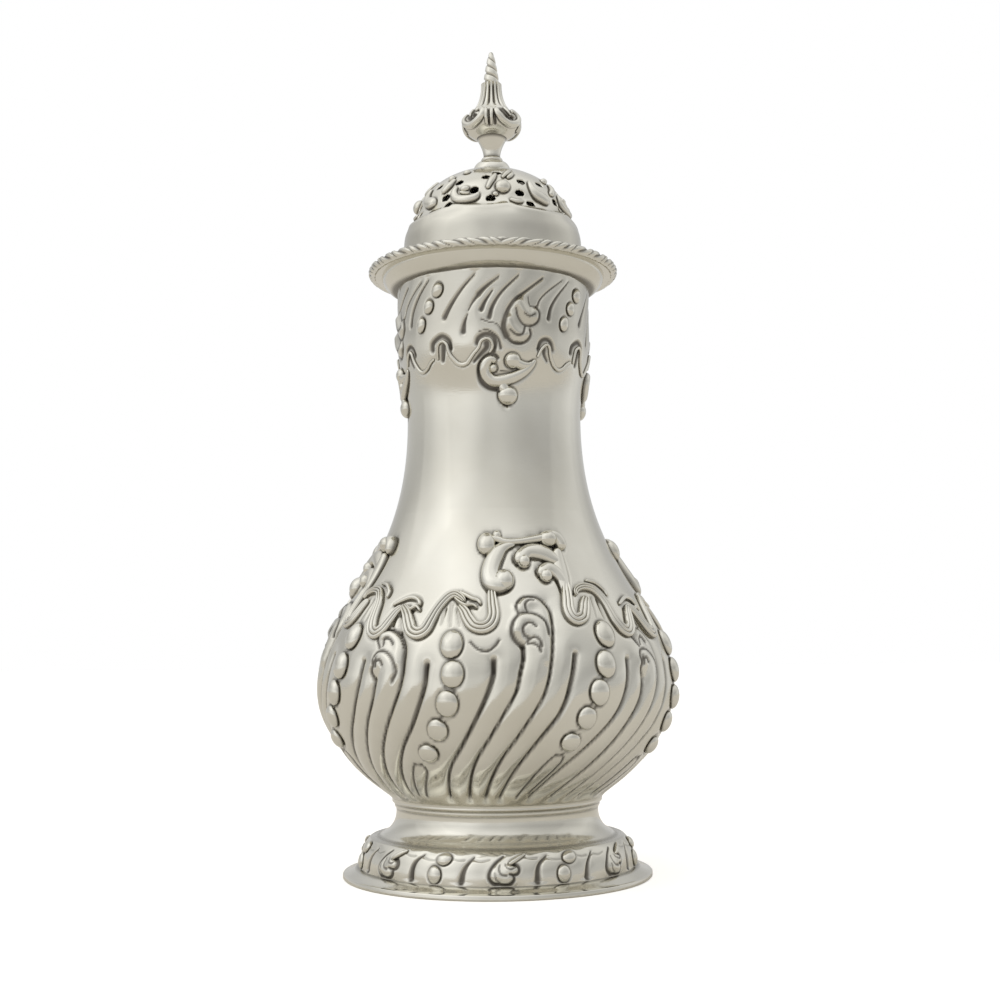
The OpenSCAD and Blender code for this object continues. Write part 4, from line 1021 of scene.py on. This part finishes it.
# floor, light and camera
studio = {"floorSize": 3.0, "floorTone": (0.71, 0.672, 0.61),
          # white added to floor and backdrop for the camera, and what metal and glass see of it
          "floorWhite": (0.64, 0.09), "backdropWhite": (1.0, 0.25),
          # parts of the light tent: way, where the edge starts and ends, and what it adds outside and inside
          "tent": [((-0.6, 0.8, 0.0), 0.0, 0.3, 0.67, 0.5), ((-0.3, -0.05, 0.95), 0.45, 0.92, 0.0, 0.38),
                   ((-0.8, -0.6, 0.05), 0.7, 0.98, 0.0, 0.333),
                   ((0.87, -0.48, 0.0), 0.5, 0.95, 0.0, -0.227),
                   ((0.0, 0.0, 1.0), 0.12, 0.24, 0.0, -0.11), ((0.0, 0.0, 1.0), 0.3, 0.5, 0.0, 0.11),
                   ((-0.53, -0.2, 0.82), 0.88, 0.99, 0.0, 0.3)],
          "floorRough": 0.9, "floorGloss": 0.1, "lampAim": (0, 0, 0.09),
          # name, place, width and power in watts
          "lamps": [("leftBox", (-0.7, -0.1, 0.4), 0.6, 0.12), ("rightBox", (0.6, 0.1, 0.35), 0.5, 0.05)]}


def seenWhite(tree, cameraShare, metalShare):
    rays = tree.nodes.new("ShaderNodeLightPath")
    total = None
    for ray, share in (("Camera", cameraShare), ("Glossy", metalShare), ("Transmission", metalShare)):
        part = tree.nodes.new("ShaderNodeMath")
        part.operation = "MULTIPLY_ADD"
        part.inputs[1].default_value, part.inputs[2].default_value = share, 0.0
        tree.links.new(rays.outputs["Is " + ray + " Ray"], part.inputs[0])
        if total:
            tree.links.new(total, part.inputs[2])
        total = part.outputs["Value"]
    return total


bm = bmesh.new()
bmesh.ops.create_grid(bm, x_segments=1, y_segments=1, size=studio["floorSize"])
floor = keep(bm, "floor")
paper = bpy.data.materials.new("whitePaper")
paper.use_nodes = True
tree = paper.node_tree
shader = tree.nodes["Principled BSDF"]
shader.inputs["Base Color"].default_value = (*studio["floorTone"], 1)
shader.inputs["Roughness"].default_value = studio["floorRough"]
shader.inputs["Specular IOR Level"].default_value = studio["floorGloss"]
shader.inputs["Emission Color"].default_value = (1, 1, 1, 1)
tree.links.new(seenWhite(tree, *studio["floorWhite"]), shader.inputs["Emission Strength"])
floor.data.materials.append(paper)

world = bpy.data.worlds.new("lightTent")
bpy.context.scene.world = world
world.use_nodes = True
tree = world.node_tree
back = tree.nodes["Background"]
coord = tree.nodes.new("ShaderNodeTexCoord")


def toward(way, low, high, dim, bright):  # a soft step from dim to bright as one looks along the way
    aim = tree.nodes.new("ShaderNodeVectorMath")
    aim.operation = "DOT_PRODUCT"
    aim.inputs[1].default_value = way
    tree.links.new(coord.outputs["Generated"], aim.inputs[0])
    step = tree.nodes.new("ShaderNodeMapRange")
    step.interpolation_type = "SMOOTHSTEP"
    step.inputs["From Min"].default_value, step.inputs["From Max"].default_value = low, high
    step.inputs["To Min"].default_value, step.inputs["To Max"].default_value = dim, bright
    tree.links.new(aim.outputs["Value"], step.inputs["Value"])
    return step.outputs["Result"]


tone = toward(*studio["tent"][0])
for panel in studio["tent"][1:]:
    add = tree.nodes.new("ShaderNodeMath")
    tree.links.new(tone, add.inputs[0])
    tree.links.new(toward(*panel), add.inputs[1])
    tone = add.outputs["Value"]
pick = tree.nodes.new("ShaderNodeMix")
pick.inputs["B"].default_value = 1.0
tree.links.new(seenWhite(tree, *studio["backdropWhite"]), pick.inputs["Factor"])
tree.links.new(tone, pick.inputs["A"])
tree.links.new(pick.outputs["Result"], back.inputs["Strength"])
back.inputs["Color"].default_value = (1, 1, 1, 1)

for name, place, width, power in studio["lamps"]:
    lamp = bpy.data.lights.new(name, "AREA")
    lamp.size = width
    lamp.energy = power
    box = bpy.data.objects.new(name, lamp)
    box.location = place
    box.rotation_euler = (Vector(studio["lampAim"]) - Vector(place)).to_track_quat("-Z", "Y").to_euler()
    bpy.context.scene.collection.objects.link(box)
print("floor and light ready")

view = {"lens": 50.4, "sensor": 36, "near": 0.01, "place": (0.0013, -0.344, 0.0548), "up": 5.9, "roll": -0.5}
camData = bpy.data.cameras.new("camera")
camData.lens, camData.sensor_width, camData.clip_start = view["lens"], view["sensor"], view["near"]
camera = bpy.data.objects.new("camera", camData)
camera.matrix_world = (Matrix.Translation(view["place"]) @ Matrix.Rotation(radians(90 + view["up"]), 4, "X")
                       @ Matrix.Rotation(radians(view["roll"]), 4, "Z"))
bpy.context.scene.collection.objects.link(camera)
bpy.context.scene.camera = camera
bpy.context.scene.view_settings.view_transform = "Standard"

bpy.context.view_layer.update()
print("scene done")
